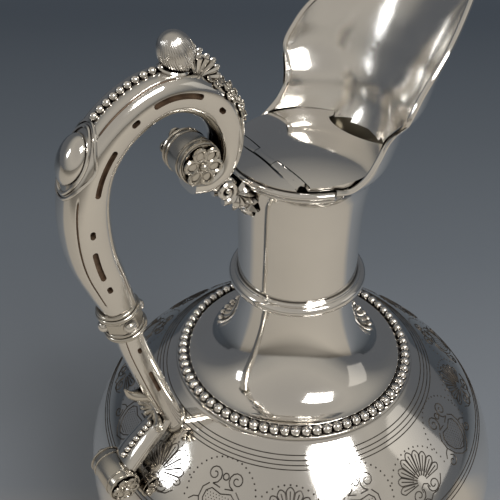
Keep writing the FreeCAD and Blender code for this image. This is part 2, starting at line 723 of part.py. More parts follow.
def spun(corners):
    """A solid turned about the vertical axis from corners of its half outline."""
    edges, places = corner_edges(corners)
    face = Part.Face(Part.Wire([edge.toShape() for edge in edges]))
    face.rotate(Vector(), Vector(1, 0, 0), 90)
    return face.revolve(Vector(), Vector(0, 0, 1), 360)


# Knuckles and pin

def circles(body, name, radii):
    """A sketch of circles round the body's own Y axis."""
    sketch = body.newObject("Sketcher::SketchObject", name)
    sketch.AttachmentSupport = (plane_of(body, "XZ_Plane"), [""])
    sketch.MapMode = "FlatFace"
    for radius in radii:
        index = sketch.addGeometry(Part.Circle(Vector(), Vector(0, 0, 1), float(radius)))
        sketch.addConstraint(Sketcher.Constraint("Coincident", index, 3, -1, 1))
        held = sketch.addConstraint(Sketcher.Constraint("Radius", index, float(radius)))
        sketch.setExpression(f"Constraints[{held}]", radius.text)
    return sketch


def rod_body(label, radii, length):
    """A rod or tube along the hinge axis."""
    body = new_body(label)
    pad = body.newObject("PartDesign::Pad", f"{label}_pad")
    pad.Profile = circles(body, f"{label}_circles", radii)
    pad.Midplane = True
    pad.setExpression("Length", length.text)
    body.Tip = pad
    put(body, -d.hinge_setback, RIM_Z + d.hinge_height)
    return body


def make_hinge():
    """Two fixed knuckles, the lid's knuckle and the pin through them."""
    rod_body("hinge_pin", [d.pin_radius], d.hinge_length)
    rod_body("lid_knuckle", [d.knuckle_radius, d.pin_radius + d.pin_clearance], d.knuckle_length)
    fixed = rod_body("leaf_knuckles", [d.knuckle_radius, d.pin_radius], d.hinge_length)
    cut = fixed.newObject("PartDesign::Pocket", "leaf_knuckles_cut")
    cut.Profile = circles(fixed, "leaf_knuckles_gap", [d.knuckle_radius + d.knuckle_gap])
    cut.Midplane = True
    cut.setExpression("Length", (d.knuckle_length + d.knuckle_gap * 2).text)
    fixed.Tip = cut


# Handle limbs

class Limb:
    """A curved bar in the handle's plane whose section changes along its length."""

    def __init__(self, shares, thickness, width, first=None):
        reach, rise, base = float(HANDLE_REACH), float(d.handle_rise), float(BEAD_Z)
        self.points = [Vector(reach * row[0], 0, base + rise * row[1]) for row in shares]
        if first:
            self.points[0] = first
        self.halves = [(float(thickness) * row[2] / 2, float(width) * row[3] / 2) for row in shares]
        self.thickness = float(thickness)
        self.path = spline(self.points)
        self.first = self.path.FirstParameter
        self.length = self.path.length()
        self.marks = [self.share_of(point) for point in self.points]

    def share_of(self, point):
        """How far along the limb a point of its path lies."""
        parameter = self.path.parameter(point)
        return self.path.length(self.first, parameter) / self.length if parameter > self.first else 0.0

    def frame(self, share):
        """Place, direction along the limb and direction out of the handle's loop."""
        parameter = self.path.parameterAtDistance(share * self.length, self.first)
        along = self.path.tangent(parameter)[0]
        return self.path.value(parameter), along, Vector(-along.z, 0, along.x)

    def half(self, share):
        """Half-thickness and half-width at a share of the limb's length."""
        return smooth([(mark, *half) for mark, half in zip(self.marks, self.halves)], share)

    def spot(self, share, out_share):
        """A point off the path by a share of the half-thickness."""
        place, along, out = self.frame(share)
        return place + out * (self.half(share)[0] * out_share)

    def solid(self):
        """The bar itself."""
        rings = []
        stations = max(4, round(self.length / (self.thickness * LIMB_STEP_SHARE)))
        for station in range(stations + 1):
            thick, wide = self.half(station / stations)
            place, along, out = self.frame(station / stations)
            ring = []
            for step in range(RING_POINTS):
                turn = 2 * math.pi * step / RING_POINTS
                c, s = squared(math.cos(turn)), squared(math.sin(turn))
                ring.append(place + out * (thick * c) + Vector(0, wide * s, 0))
            rings.append(ring)
        return skin(rings)


def squared(part):
    """Push a sine or cosine outwards for a squarer section."""
    return math.copysign(abs(part) ** (2 / LIMB_SQUARENESS), part)


def slot_cut(limb, low, high, out_share):
    """A round-ended slot that follows the limb, on both flanks."""
    radius = float(d.slot_radius)
    steps = 5
    shares = [low + (high - low) * step / steps for step in range(steps + 1)]
    middle = [limb.spot(share, out_share) for share in shares]
    outs = [limb.frame(share)[2] for share in shares]
    upper = [point + out * radius for point, out in zip(middle, outs)]
    lower = [point - out * radius for point, out in zip(middle, outs)]
    ends = [limb.frame(share)[1] for share in (low, high)]
    edges = [
        spline(upper).toShape(),
        Part.Arc(upper[-1], middle[-1] + ends[1] * radius, lower[-1]).toShape(),
        spline(lower[::-1]).toShape(),
        Part.Arc(lower[0], middle[0] - ends[0] * radius, upper[0]).toShape(),
    ]
    return flank_cut(Part.Face(Part.Wire(edges)), limb.half((low + high) / 2)[1])


def dot_cut(limb, share, out_share):
    """A round pit on both flanks of a limb."""
    circle = Part.makeCircle(float(d.dot_radius), limb.spot(share, out_share), Vector(0, 1, 0))
    return flank_cut(Part.Face(Part.Wire(circle)), limb.half(share)[1])


def flank_cut(face, half_width):
    """A face in the handle's plane carried out through both flanks."""
    inner = half_width * SLOT_DEPTH_SHARE
    near = face.extrude(Vector(0, half_width, 0))
    near.translate(Vector(0, inner, 0))
    far = face.extrude(Vector(0, -half_width, 0))
    far.translate(Vector(0, -inner, 0))
    return Part.makeCompound([near, far])


def ellipsoid(centre, first, second, third):
    """A ball stretched along three directions whose lengths are its half-axes."""
    matrix = FreeCAD.Matrix(
        first.x, second.x, third.x, centre.x,
        first.y, second.y, third.y, centre.y,
        first.z, second.z, third.z, centre.z,
        0, 0, 0, 1)
    return Part.makeSphere(1).transformGeometry(matrix)


def flower(centre, axis, radius, petals):
    """Round petals set about a middle ball."""
    side = axis.cross(Vector(1, 0, 0)) if abs(axis.x) < math.sqrt(0.5) else axis.cross(Vector(0, 1, 0))
    side.normalize()
    other = axis.cross(side)
    shape = Part.makeSphere(radius * FLOWER_EYE_SHARE, centre)
    balls = []
    for step in range(petals):
        turn = 2 * math.pi * step / petals
        way = side * math.cos(turn) + other * math.sin(turn)
        balls.append(Part.makeSphere(radius * PETAL_SHARE, centre + way * (radius * PETAL_RING_SHARE)))
    return shape.multiFuse(balls)


def fan(centre, ahead, side, radius, lobes):
    """A shell of round lobes spread from a root ball."""
    shape = Part.makeSphere(radius * FAN_ROOT_SHARE, centre)
    balls = []
    for step in range(lobes):
        turn = -HALF_PI + math.pi * (step + 0.5) / lobes
        way = ahead * math.cos(turn) + side * math.sin(turn)
        balls.append(ellipsoid(
            centre + way * (radius * FAN_RING_SHARE),
            way * (radius * FAN_LOBE_SHARES[0]),
            ahead.cross(side) * (radius * FAN_LOBE_SHARES[1]),
            way.cross(ahead.cross(side)) * (radius * FAN_LOBE_SHARES[2])))
    return shape.multiFuse(balls)


def barrel(centre, radius, half, crown):
    """A short drum across the handle's plane that swells at its middle."""
    corners = as_corners([(0, -half), (radius, -half, crown / half / 2), (radius, half), (0, half)])
    edges, places = corner_edges(corners)
    solid = Part.Face(Part.Wire([edge.toShape() for edge in edges])).revolve(Vector(), Vector(0, 1, 0), 360)
    solid.translate(centre)
    return solid


def handle_point(shares):
    """A point of the handle's plane by the handle's reach and rise."""
    return Vector(float(HANDLE_REACH) * shares[0], 0, float(BEAD_Z) + float(d.handle_rise) * shares[1])


def bead_row(limb, ends, count, radius):
    """Balls along the outer ridge of a limb."""
    shares = [ends[0] + (ends[1] - ends[0]) * step / (count - 1) for step in range(count)]
    balls = []
    for share in shares:
        out = limb.frame(share)[2]
        balls.append(Part.makeSphere(radius, limb.spot(share, 1.0) + out * (radius * RIDGE_SINK_SHARE)))
    return Part.makeCompound(balls)


def filled_vessel():
    """The shoulder as a filled form, to seat the stem and its pad on."""
    return spun(as_corners(shoulder_outside() + [(0, DISC_Z), (0, GIRTH_Z)]))


def make_collar():
    """Collar between the arm and the stem, on the slant of the handle."""
    low, high = (handle_point(shares) for shares in COLLAR_SHARES)
    across = HANDLE_REACH * (COLLAR_SHARES[1][0] - COLLAR_SHARES[0][0])
    up = d.handle_rise * (COLLAR_SHARES[1][1] - COLLAR_SHARES[0][1])
    length = root(across * across + up * up)
    neck = d.collar_radius - d.collar_band
    body = turned("handle_collar", [
        (0, 0),
        (neck, 0),
        (neck, d.collar_ring / 2, COLLAR_BULGE_SHARE),
        (neck, d.collar_ring * 1.5),
        (neck, length - d.collar_ring * 1.5, COLLAR_BULGE_SHARE),
        (neck, length - d.collar_ring / 2),
        (neck, length),
        (0, length),
    ])
    axis = (high - low).normalize()
    body.Placement = FreeCAD.Placement(low, FreeCAD.Rotation(Vector(0, 0, 1), axis))
    doc.recompute()
    middle = (low + high) * 0.5
    studs = []
    for step in range(STUDS):
        turn = 2 * math.pi * step / STUDS
        way = axis.cross(Vector(0, 1, 0)) * math.cos(turn) + Vector(0, 1, 0) * math.sin(turn)
        studs.append(Part.makeSphere(float(d.stud_radius), middle + way * float(neck)))
    feature("collar_studs", Part.makeCompound(studs).cut(body.Shape))
    return body.Shape


def make_handle(neck, moulding):
    """Arm, collar, stem and tail with the ornament that each one carries."""
    collar = make_collar()
    vessel = filled_vessel()
    arm = Limb(ARM_SHARES, d.arm_thickness, d.arm_width)
    stem = Limb(STEM_SHARES, d.stem_thickness, d.stem_width, stem_foot())
    tail = Limb(TAIL_SHARES, d.tail_thickness, d.tail_width)
    slots = [slot_cut(arm, *row) for row in SLOT_SHARES]
    dots = [dot_cut(arm, *row) for row in DOT_SHARES]
    whole_arm = arm.solid().cut(collar)
    feature("handle_arm", whole_arm.cut(Part.makeCompound(slots + dots)))

    down = vessel_slope(stem)
    place, along, out = down
    pad = ellipsoid(place, along * float(d.pad_length), Vector(0, float(d.pad_width), 0),
                    out * float(d.pad_height)).cut(vessel)
    feature("stem_pad", pad)
    stem_shape = stem.solid().cut(collar).cut(vessel).cut(pad)
    feature("handle_stem", stem_shape)
    volute = barrel(handle_point(BARREL_SHARES), d.barrel_radius, d.barrel_half, d.drum_crown)
    feature("stem_volute", volute)
    tail_shape = tail.solid().cut(volute).cut(stem_shape).cut(pad).cut(vessel)
    feature("handle_tail", tail_shape)
    feature("volute_flowers", end_rosettes(volute, handle_point(BARREL_SHARES), d.barrel_half))

    place, along, out = stem.frame(STEM_SHELL_SHARE)
    stem_shell = fan(stem.spot(STEM_SHELL_SHARE, 1.0), -along, Vector(0, 1, 0),
                     float(d.stem_shell_radius), SHELL_LOBES)
    stem_shell = stem_shell.cut(stem_shape).cut(tail_shape).cut(pad).cut(vessel)
    feature("stem_shell", stem_shell)
    tail_beads = bead_row(tail, TAIL_BEAD_SHARES, TAIL_BEADS, float(d.ridge_bead_radius))
    feature("stem_beads", tail_beads.cut(tail_shape).cut(stem_shape).cut(volute).cut(stem_shell))

    ball = standing_ball(arm, BALL_SHARE, float(d.ball_radius)).cut(whole_arm)
    feature("thumb_ball", ball)
    place, along, out = arm.frame(SHELL_SHARE)
    shell = fan(arm.spot(SHELL_SHARE, 1.0), -along, Vector(0, 1, 0), float(d.shell_length), SHELL_LOBES)
    shell = shell.cut(whole_arm).cut(ball)
    feature("thumb_shell", shell)
    flowers = []
    for share in FLOWER_SHARES:
        flowers.append(flower(arm.spot(share, 1.0), arm.frame(share)[2], float(d.flower_radius), PETALS))
    crest = flowers[0].multiFuse(flowers[1:])
    feature("crest_flowers", crest.cut(whole_arm).cut(shell))

    place, along, out = arm.frame(BOSS_SHARE)
    centre = arm.spot(BOSS_SHARE, 1.0)
    border = float(d.boss_border)
    boss = ellipsoid(centre, along * float(d.boss_length), Vector(0, float(d.boss_width), 0),
                     out * float(d.boss_height))
    frame = ellipsoid(centre, along * (float(d.boss_length) + border),
                      Vector(0, float(d.boss_width) + border, 0), out * border)
    feature("arm_boss", boss.cut(whole_arm))
    frame = frame.cut(boss).cut(whole_arm)
    feature("boss_frame", frame)
    beads = bead_row(arm, RIDGE_BEAD_SHARES, RIDGE_BEADS, float(d.ridge_bead_radius))
    feature("arm_beads", beads.cut(whole_arm).cut(frame).cut(ball))

    drum_centre = handle_point(DRUM_SHARES)
    drum = barrel(drum_centre, d.drum_radius, d.drum_half, d.drum_crown).cut(whole_arm)
    feature("volute_drum", drum)
    feature("drum_rosettes", end_rosettes(drum, drum_centre, d.drum_half))
    root_place = Vector(-float(d.neck_radius - d.wall), 0, handle_point(BRACKET_SHARES[0]).z)
    bracket_bar = Limb(BRACKET_SHARES, d.bracket_height, d.bracket_width, root_place)
    bracket = bracket_bar.solid().cut(neck).cut(moulding).cut(whole_arm).cut(drum)
    feature("neck_bracket", bracket)
    leaf_x = -float(d.neck_radius + d.bracket_leaf_thickness * BRACKET_LEAF_SHARES[0])
    leaf_place = Vector(leaf_x, 0, float(BEAD_Z + d.handle_rise * BRACKET_LEAF_SHARES[1]))
    leaf = ellipsoid(leaf_place, Vector(float(d.bracket_leaf_thickness), 0, 0),
                     Vector(0, float(d.bracket_leaf_length), 0), Vector(0, 0, float(d.bracket_leaf_length)))
    feature("bracket_leaf", leaf.cut(neck).cut(moulding).cut(bracket))

    tendril = Limb(TENDRIL_SHARES, d.tendril_radius * 2, d.tendril_radius * 2)
    feature("stem_tendril", tendril.solid().cut(stem_shape))


def standing_ball(limb, share, radius):
    """A ball standing on the outer ridge of a limb."""
    return Part.makeSphere(radius, limb.spot(share, 1.0) + limb.frame(share)[2] * (radius * BALL_LIFT_SHARE))


def end_rosettes(drum, centre, half):
    """A rosette on each end of a drum."""
    both = []
    for side in (-1, 1):
        face = centre + Vector(0, side * float(half), 0)
        both.append(flower(face, Vector(0, side, 0), float(d.rosette_radius), PETALS))
    return Part.makeCompound(both).cut(drum)


def stem_foot():
    """The stem's lowest centre, held above the shoulder's slope."""
    foot = handle_point(STEM_SHARES[0])
    turn_z = float(GIRTH_Z + d.shoulder_turn_rise)
    fall = (float(DISC_Z) - turn_z) / float(SHOULDER_TURN - d.disc_radius)
    foot.z = float(DISC_Z + d.stem_seat) - fall * (-foot.x - float(d.disc_radius))
    return foot


def vessel_slope(stem):
    """Where the stem meets the shoulder, with the directions down and out of its slope."""
    place = stem.frame(0)[0]
    turn = Vector(-float(SHOULDER_TURN), 0, float(GIRTH_Z + d.shoulder_turn_rise))
    top = Vector(-float(d.disc_radius), 0, float(DISC_Z))
    along = (turn - top).normalize()
    return place, along, Vector(along.z, 0, -along.x)


def export(folder):
    """Check every object, then write each piece to its own file."""
    doc.recompute()
    faults = [thing.Label for thing in doc.Objects if "Invalid" in thing.State or "Error" in thing.State]
    pieces = [thing for thing in doc.Objects if thing.TypeId in ("PartDesign::Body", "Part::Feature")]
    faults += [thing.Label for thing in pieces if thing.Shape.isNull() or not thing.Shape.isValid()]
    faults += [thing.Label for thing in pieces if not thing.Shape.Solids]
    if faults:
        raise RuntimeError("faulty pieces: " + ", ".join(faults))
    os.makedirs(folder, exist_ok=True)
    for thing in pieces:
        thing.Shape.exportStep(os.path.join(folder, f"{thing.Label}.step"))


make_foot()
make_vessel()
make_neck_base()
make_lip()
NECK_FILLED = lip_solid().cut(lip_trim())
RIM_MOULDING = make_rim(NECK_FILLED)
make_cover()
make_hinge()
make_handle(NECK_FILLED, RIM_MOULDING)
export("parts")
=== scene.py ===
"""Looks for the silver wine ewer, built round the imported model.

Shapes are in millimetres, which MM turns into Blender's metres. The stage and the lamps are in metres.
"""
import json
from math import acos, atan, atan2, copysign, cos, dist, exp, floor, hypot, pi, radians, sin
import bpy
import bmesh
from mathutils import Matrix, Vector


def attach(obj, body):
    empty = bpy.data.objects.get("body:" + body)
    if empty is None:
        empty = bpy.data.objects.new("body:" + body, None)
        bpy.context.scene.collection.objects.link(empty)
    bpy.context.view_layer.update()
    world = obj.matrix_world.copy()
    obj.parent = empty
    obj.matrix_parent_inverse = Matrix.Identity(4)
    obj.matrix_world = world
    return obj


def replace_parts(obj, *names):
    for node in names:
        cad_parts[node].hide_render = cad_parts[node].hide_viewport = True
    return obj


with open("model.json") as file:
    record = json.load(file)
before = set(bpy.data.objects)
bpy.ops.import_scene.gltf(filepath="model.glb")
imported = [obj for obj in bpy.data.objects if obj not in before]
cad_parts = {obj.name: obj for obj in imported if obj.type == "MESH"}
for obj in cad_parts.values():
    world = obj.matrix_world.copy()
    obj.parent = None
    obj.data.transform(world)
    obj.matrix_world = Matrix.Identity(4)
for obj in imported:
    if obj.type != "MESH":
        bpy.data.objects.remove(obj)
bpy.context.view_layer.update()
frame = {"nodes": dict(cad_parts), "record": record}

MM = 0.001
TAU = 2 * pi
SIDES = (-1, 1)
ACROSS = Vector((0.0, 1.0, 0.0))
UPWARD = Vector((0.0, 0.0, 1.0))
FORWARD = Vector((1.0, 0.0, 0.0))
scene = bpy.context.scene
scene.view_settings.view_transform = "Standard"

# Levels of the model above the table
BEAD_Z = 160.0
JOINT_Z = 191.8
RIM_Z = 233.4


def new_object(name, data):
    thing = bpy.data.objects.new(name, data)
    scene.collection.objects.link(thing)
    return thing


def even_shares(count):
    """Even shares from 0 to 1, with both ends."""
    return [k / count for k in range(count + 1)]


def circle(count):
    """Even turns round a full circle."""
    return [TAU * k / count for k in range(count)]


def ease(t):
    """A share that starts and stops softly."""
    return t * t * (3 - 2 * t)


# Camera

CAMERA_PLACE = Vector((-127.2, -163.9, 360.2))
CAMERA_RIGHT = Vector((0.8318, -0.5551, 0.0031))
CAMERA_UP = Vector((0.3388, 0.5120, 0.7893))
CAMERA_FORWARD = Vector((0.4397, 0.6555, -0.6140))
SENSOR_MM = 36.0
FOCAL_PX, PHOTO_PX = 877.9, 500
CLIP_NEAR, CLIP_FAR = 0.01, 20.0


def make_camera():
    data = bpy.data.cameras.new("camera")
    data.sensor_width = SENSOR_MM
    data.lens = SENSOR_MM * FOCAL_PX / PHOTO_PX
    data.clip_start, data.clip_end = CLIP_NEAR, CLIP_FAR
    thing = new_object("camera", data)
    turn = Matrix((CAMERA_RIGHT, CAMERA_UP, -CAMERA_FORWARD)).transposed().to_4x4()
    thing.matrix_world = Matrix.Translation(CAMERA_PLACE * MM) @ turn
    scene.camera = thing


# Node helpers

class Nodes:
    """A node tree with short ways to add and link nodes."""

    def __init__(self, tree):
        self.tree = tree
        tree.nodes.clear()

    def add(self, kind, **settings):
        node = self.tree.nodes.new(kind)
        for name, value in settings.items():
            if hasattr(node, name):
                setattr(node, name, value)
            else:
                node.inputs[name].default_value = value
        return node

    def link(self, source, target):
        self.tree.links.new(source, target)

    def place(self, kind):
        return self.add("ShaderNodeTexCoord").outputs[kind]

    def noise(self, place, scale, detail):
        node = self.add("ShaderNodeTexNoise", Scale=scale, Detail=detail)
        self.link(place, node.inputs["Vector"])
        return node.outputs["Fac"]

    def ramp(self, source, stops):
        node = self.add("ShaderNodeValToRGB")
        marks = node.color_ramp.elements
        while len(marks) < len(stops):
            marks.new(0.5)
        for mark, (position, colour) in zip(marks, stops):
            mark.position = position
            mark.color = (*colour, 1.0)
        self.link(source, node.inputs["Fac"])
        return node.outputs["Color"]


def new_paint(name, **settings):
    """A material, its node tree and its shader."""
    material = bpy.data.materials.new(name)
    material.use_nodes = True
    n = Nodes(material.node_tree)
    shader = n.add("ShaderNodeBsdfPrincipled", **settings)
    n.link(shader.outputs["BSDF"], n.add("ShaderNodeOutputMaterial").inputs["Surface"])
    return material, n, shader


def grey(level):
    return (level, level, level)


# Materials

SILVER = (0.93, 0.905, 0.865)
# Colour of the painted shade in crevices
CREVICE_SHADE_TINT = (0.055, 0.040, 0.030)
DEEP_SHARE, OPEN_SHARE = 0.42, 0.86
PATCH_SCALE, DULL_SHARE = 90.0, 0.965
POLISH_SCALE = 240.0
SCRATCH_SCALE, SCRATCH_STRETCH, SCRATCH_DEPTH = 900.0, (1.0, 1.0, 14.0), 0.02
DENT_DEPTH = 0.6
CUT_ROUGHNESS, CUT_SCALE = 0.48, 400.0

# The slot of the record for each paint, built as dicts that are not kept
dict.fromkeys(("sheet", "line", "inner", "shade"), "polished_silver")
dict.fromkeys(("cast", "pit", "aged"), "cast_silver")
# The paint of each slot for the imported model's own nodes
SLOT_PAINT = {"polished_silver": "sheet", "cast_silver": "cast", "bead_silver": "bead",
              "satin_silver": "satin", "pin_steel": "satin"}


def silver(name, rough, rough_spread, shade_reach_mm, wave, wave_scale, scratch, tint=SILVER):
    """Polished silver: painted shade in its crevices from ambient occlusion, a wavering polish, soft dents
    and fine scratches.
    """
    material, n, shader = new_paint(name, Metallic=1.0)
    place = n.place("Object")
    dull = tuple(DULL_SHARE * part for part in tint)
    patches = n.ramp(n.noise(place, PATCH_SCALE, 4.0), ((0.3, dull), (0.7, tint)))
    # Painted shade: ambient occlusion darkens the colour in crevices and between parts, where shade falls.
    crevice = n.add("ShaderNodeAmbientOcclusion", samples=8, Distance=shade_reach_mm * MM)
    depth = n.ramp(crevice.outputs["AO"], ((DEEP_SHARE, grey(1.0)), (OPEN_SHARE, grey(0.0))))
    old = n.add("ShaderNodeMix", data_type="RGBA")
    n.link(depth, old.inputs[0])
    n.link(patches, old.inputs[6])
    old.inputs[7].default_value = (*CREVICE_SHADE_TINT, 1.0)
    n.link(old.outputs[2], shader.inputs["Base Color"])
    worn = n.ramp(n.noise(place, POLISH_SCALE, 5.0), ((0.25, grey(rough)), (0.8, grey(rough + rough_spread))))
    n.link(worn, shader.inputs["Roughness"])
    stretch = n.add("ShaderNodeMapping", vector_type="POINT", Scale=SCRATCH_STRETCH)
    n.link(place, stretch.inputs["Vector"])
    mark = n.add("ShaderNodeBump", Strength=scratch, Distance=SCRATCH_DEPTH * MM)
    n.link(n.noise(stretch.outputs["Vector"], SCRATCH_SCALE, 2.0), mark.inputs["Height"])
    dent = n.add("ShaderNodeBump", Strength=wave, Distance=DENT_DEPTH * MM)
    n.link(n.noise(place, wave_scale, 1.0), dent.inputs["Height"])
    n.link(mark.outputs["Normal"], dent.inputs["Normal"])
    n.link(dent.outputs["Normal"], shader.inputs["Normal"])
    return material


def engraved(name, metal, dark, light):
    """The cut of a chased line or slot: dull metal with old tarnish in patches."""
    material, n, shader = new_paint(name, Metallic=metal, Roughness=CUT_ROUGHNESS)
    patches = n.noise(n.place("Object"), CUT_SCALE, 3.0)
    n.link(n.ramp(patches, ((0.35, dark), (0.7, light))), shader.inputs["Base Color"])
    return material


def make_materials():
    return {
        "sheet": silver("sheet_silver", 0.05, 0.05, 1.2, 0.10, 40.0, 0.10),
        "cast": silver("cast_silver", 0.06, 0.09, 1.6, 0.12, 160.0, 0.15, (0.91, 0.88, 0.83)),
        "bead": silver("bead_silver", 0.05, 0.06, 1.0, 0.0, 100.0, 0.05, (0.92, 0.89, 0.85)),
        "satin": silver("satin_silver", 0.12, 0.12, 1.5, 0.12, 120.0, 0.8, (0.80, 0.775, 0.735)),
        "inner": silver("inner_silver", 0.10, 0.10, 1.2, 0.10, 40.0, 0.6),
        # Painted shade: a dark sheet for the inside of the neck below the rim.
        "shade": silver("inside_painted_shade", 0.30, 0.15, 4.0, 0.10, 40.0, 0.3, (0.10, 0.088, 0.066)),
        "aged": silver("aged_silver", 0.10, 0.12, 2.6, 0.14, 180.0, 0.3, (0.72, 0.68, 0.61)),
        "line": engraved("engraved_line", 0.5, (0.035, 0.03, 0.026), (0.12, 0.105, 0.09)),
        "pit": engraved("slot_floor", 0.4, (0.10, 0.062, 0.040), (0.22, 0.15, 0.10)),
    }


# Stage and light, in metres

STAGE_WAY = Vector((0.557, 0.830, 0.0))
STAGE_SIDE = Vector((0.830, -0.557, 0.0))
STAGE_FRONT, STAGE_TURN, STAGE_BEND, STAGE_HALF = -2.2, 0.62, 0.35, 3.0
STAGE_FLAT = (-0.30, -0.10, 0.0, 0.10, 0.30)
STAGE_LIFT, STAGE_LIFT_STEPS = radians(60), 10
STAGE_ROUGHNESS = 0.75
# Place along the sweep and tint: cream before the ewer and blue-grey behind it, with painted light falloff,
# brightest near the ewer and darker further away.
STAGE_TINTS_WITH_PAINTED_FALLOFF = (
    (-2.2, (0.24, 0.225, 0.20)), (-0.75, (0.28, 0.26, 0.23)), (-0.40, (0.54, 0.505, 0.45)),
    (0.0, (0.54, 0.51, 0.465)), (0.065, (0.29, 0.318, 0.362)), (0.25, (0.178, 0.207, 0.248)),
    (0.40, (0.130, 0.156, 0.192)), (0.65, (0.074, 0.096, 0.130)), (1.0, (0.064, 0.083, 0.113)))
ROOM_WAY = (-0.334, -0.498, 0.800)
ROOM_TINTS = ((0.0, (0.10, 0.106, 0.116)), (0.16, (0.112, 0.116, 0.122)), (0.45, (0.33, 0.315, 0.285)),
              (0.68, (0.40, 0.375, 0.335)), (1.0, (0.35, 0.33, 0.30)))
LAMP_AIM = Vector((0.0, 0.0, 0.18))
# Name, place, size, watts and colour of each lamp
LAMPS = (("key", (0.04, -1.09, 1.46), (0.75, 0.5), 15.0, (1.0, 0.985, 0.96)),
         ("window", (-1.25, 0.45, 0.85), (0.2, 0.32), 1.2, (0.95, 0.975, 1.0)),
         ("side", (1.15, -0.85, 0.75), (0.6, 0.8), 0.4, (1.0, 0.95, 0.87)))


def stage_paint(length):
    """Paint on the sweep: cream before the ewer, blue-grey behind it, with a painted pool of light near the
    ewer that darkens further away.
    """
    material, n, shader = new_paint("stage_paint", Roughness=STAGE_ROUGHNESS)
    split = n.add("ShaderNodeSeparateXYZ")
    n.link(n.place("UV"), split.inputs["Vector"])
    stops = [((at - STAGE_FRONT) / length, colour) for at, colour in STAGE_TINTS_WITH_PAINTED_FALLOFF]
    n.link(n.ramp(split.outputs["X"], stops), shader.inputs["Base Color"])
    return material


def make_stage():
    """A floor that sweeps up a little behind the ewer."""
    line = [(at, 0.0) for at in (STAGE_FRONT, *STAGE_FLAT, STAGE_TURN)]
    for t in even_shares(STAGE_LIFT_STEPS)[1:]:
        turn = STAGE_LIFT * t
        line.append((STAGE_TURN + STAGE_BEND * sin(turn), STAGE_BEND - STAGE_BEND * cos(turn)))
    gone = [0.0]
    for before, after in zip(line, line[1:]):
        gone.append(gone[-1] + dist(before, after))
    verts = [STAGE_WAY * at + STAGE_SIDE * side + UPWARD * z
             for at, z in line for side in (-STAGE_HALF, STAGE_HALF)]
    mesh = bpy.data.meshes.new("floor")
    mesh.from_pydata(verts, [], [(k, k + 1, k + 3, k + 2) for k in range(0, len(verts) - 2, 2)])
    mesh.materials.append(stage_paint(gone[-1]))
    for face in mesh.polygons:
        face.use_smooth = True
    layer = mesh.uv_layers.new(name="sweep")
    for loop in mesh.loops:
        layer.data[loop.index].uv = (gone[loop.vertex_index // 2] / gone[-1], loop.vertex_index % 2)
    new_object("floor", mesh)


def make_light():
    """A room that is dark behind the ewer and pale before it, and three soft lamps."""
    world = bpy.data.worlds.new("studio")
    scene.world = world
    world.use_nodes = True
    n = Nodes(world.node_tree)
    sky = n.add("ShaderNodeBackground", Strength=1.0)
    toward = n.add("ShaderNodeVectorMath", operation="DOT_PRODUCT")
    n.link(n.place("Generated"), toward.inputs[0])
    toward.inputs[1].default_value = ROOM_WAY
    n.link(n.ramp(toward.outputs["Value"], ROOM_TINTS), sky.inputs["Color"])
    n.link(sky.outputs["Background"], n.add("ShaderNodeOutputWorld").inputs["Surface"])
    for name, place, size, watts, colour in LAMPS:
        data = bpy.data.lights.new(name, "AREA")
        data.shape = "RECTANGLE"
        data.size, data.size_y = size
        data.energy = watts
        data.color = colour
        thing = new_object(name, data)
        thing.location = place
        thing.rotation_euler = (LAMP_AIM - Vector(place)).to_track_quat("-Z", "Y").to_euler()


# Lines

def smooth_rows(rows, at):
    """Values at a place along rows that start with their place, joined by smooth cubics."""
    last = len(rows) - 1
    low = 0
    while low < last - 1 and at > rows[low + 1][0]:
        low += 1
    start, end = rows[low], rows[low + 1]
    before, after = rows[max(low - 1, 0)], rows[min(low + 2, last)]
    span = end[0] - start[0]
    t = (at - start[0]) / span
    values = []
    for column in range(1, len(start)):
        leave = span * (end[column] - before[column]) / (end[0] - before[0])
        arrive = span * (after[column] - start[column]) / (after[0] - start[0])
        rise = end[column] - start[column]
        values.append(start[column] + t * (leave + t * (
            3 * rise - 2 * leave - arrive + t * (leave + arrive - 2 * rise))))
    return values


def curve_rows(points):
    """Points with their distance along the line in front, for smooth_rows."""
    rows = []
    gone = 0.0
    for index, point in enumerate(points):
        if index:
            gone += dist(point[:2], points[index - 1][:2])
        rows.append((gone, *point))
    return rows


def along(points, count):
    """Evenly spaced points on the smooth line through points."""
    rows = curve_rows(points)
    return [smooth_rows(rows, rows[-1][0] * t) for t in even_shares(count)]


def arc_points(first, last, bulge, steps):
    """Points on an arc from first up to, but without, last."""
    if not bulge:
        return [tuple(first)]
    half = 2 * atan(2 * bulge)
    a, b = Vector(first), Vector(last)
    chord = b - a
    radius = chord.length / (2 * sin(half))
    out = Vector((chord.y, -chord.x)).normalized()
    centre = (a + b) / 2 - out * (radius * cos(half))
    turn = atan2(a.y - centre.y, a.x - centre.x)
    radius = abs(radius)
    return [(centre.x + radius * cos(turn + 2 * half * k / steps),
             centre.y + radius * sin(turn + 2 * half * k / steps)) for k in range(steps)]


def profile(corners, steps):
    """Points of a closed outline of corners, each with the bulge of the edge that follows."""
    points = []
    for index, corner in enumerate(corners):
        following = corners[(index + 1) % len(corners)]
        bulge = corner[2] if len(corner) > 2 else 0.0
        points += arc_points(corner[:2], following[:2], bulge, steps)
    return points


def hoop(centre, first, second, count):
    """Points of a closed ring about a centre, from its two half-axes."""
    return [centre + first * cos(a) + second * sin(a) for a in circle(count)]


# Shapes, each a list of points and a list of faces

SHARP_DEG = 35.0
DOUBLE_GAP = 1e-7
AXIS_GAP = 1e-6
EDGE_WIDTH = 0.15


def skin(rows, count, loop=False, ring=True, caps=False):
    """Faces between rows of count points: loop joins last row and first, ring closes each row."""
    faces = []
    for row in range(rows if loop else rows - 1):
        here, there = row * count, (row + 1) % rows * count
        for k in range(count if ring else count - 1):
            after = (k + 1) % count
            faces.append((here + k, here + after, there + after, there + k))
    if caps:
        faces.append(tuple(range(count))[::-1])
        faces.append(tuple(range((rows - 1) * count, rows * count)))
    return faces


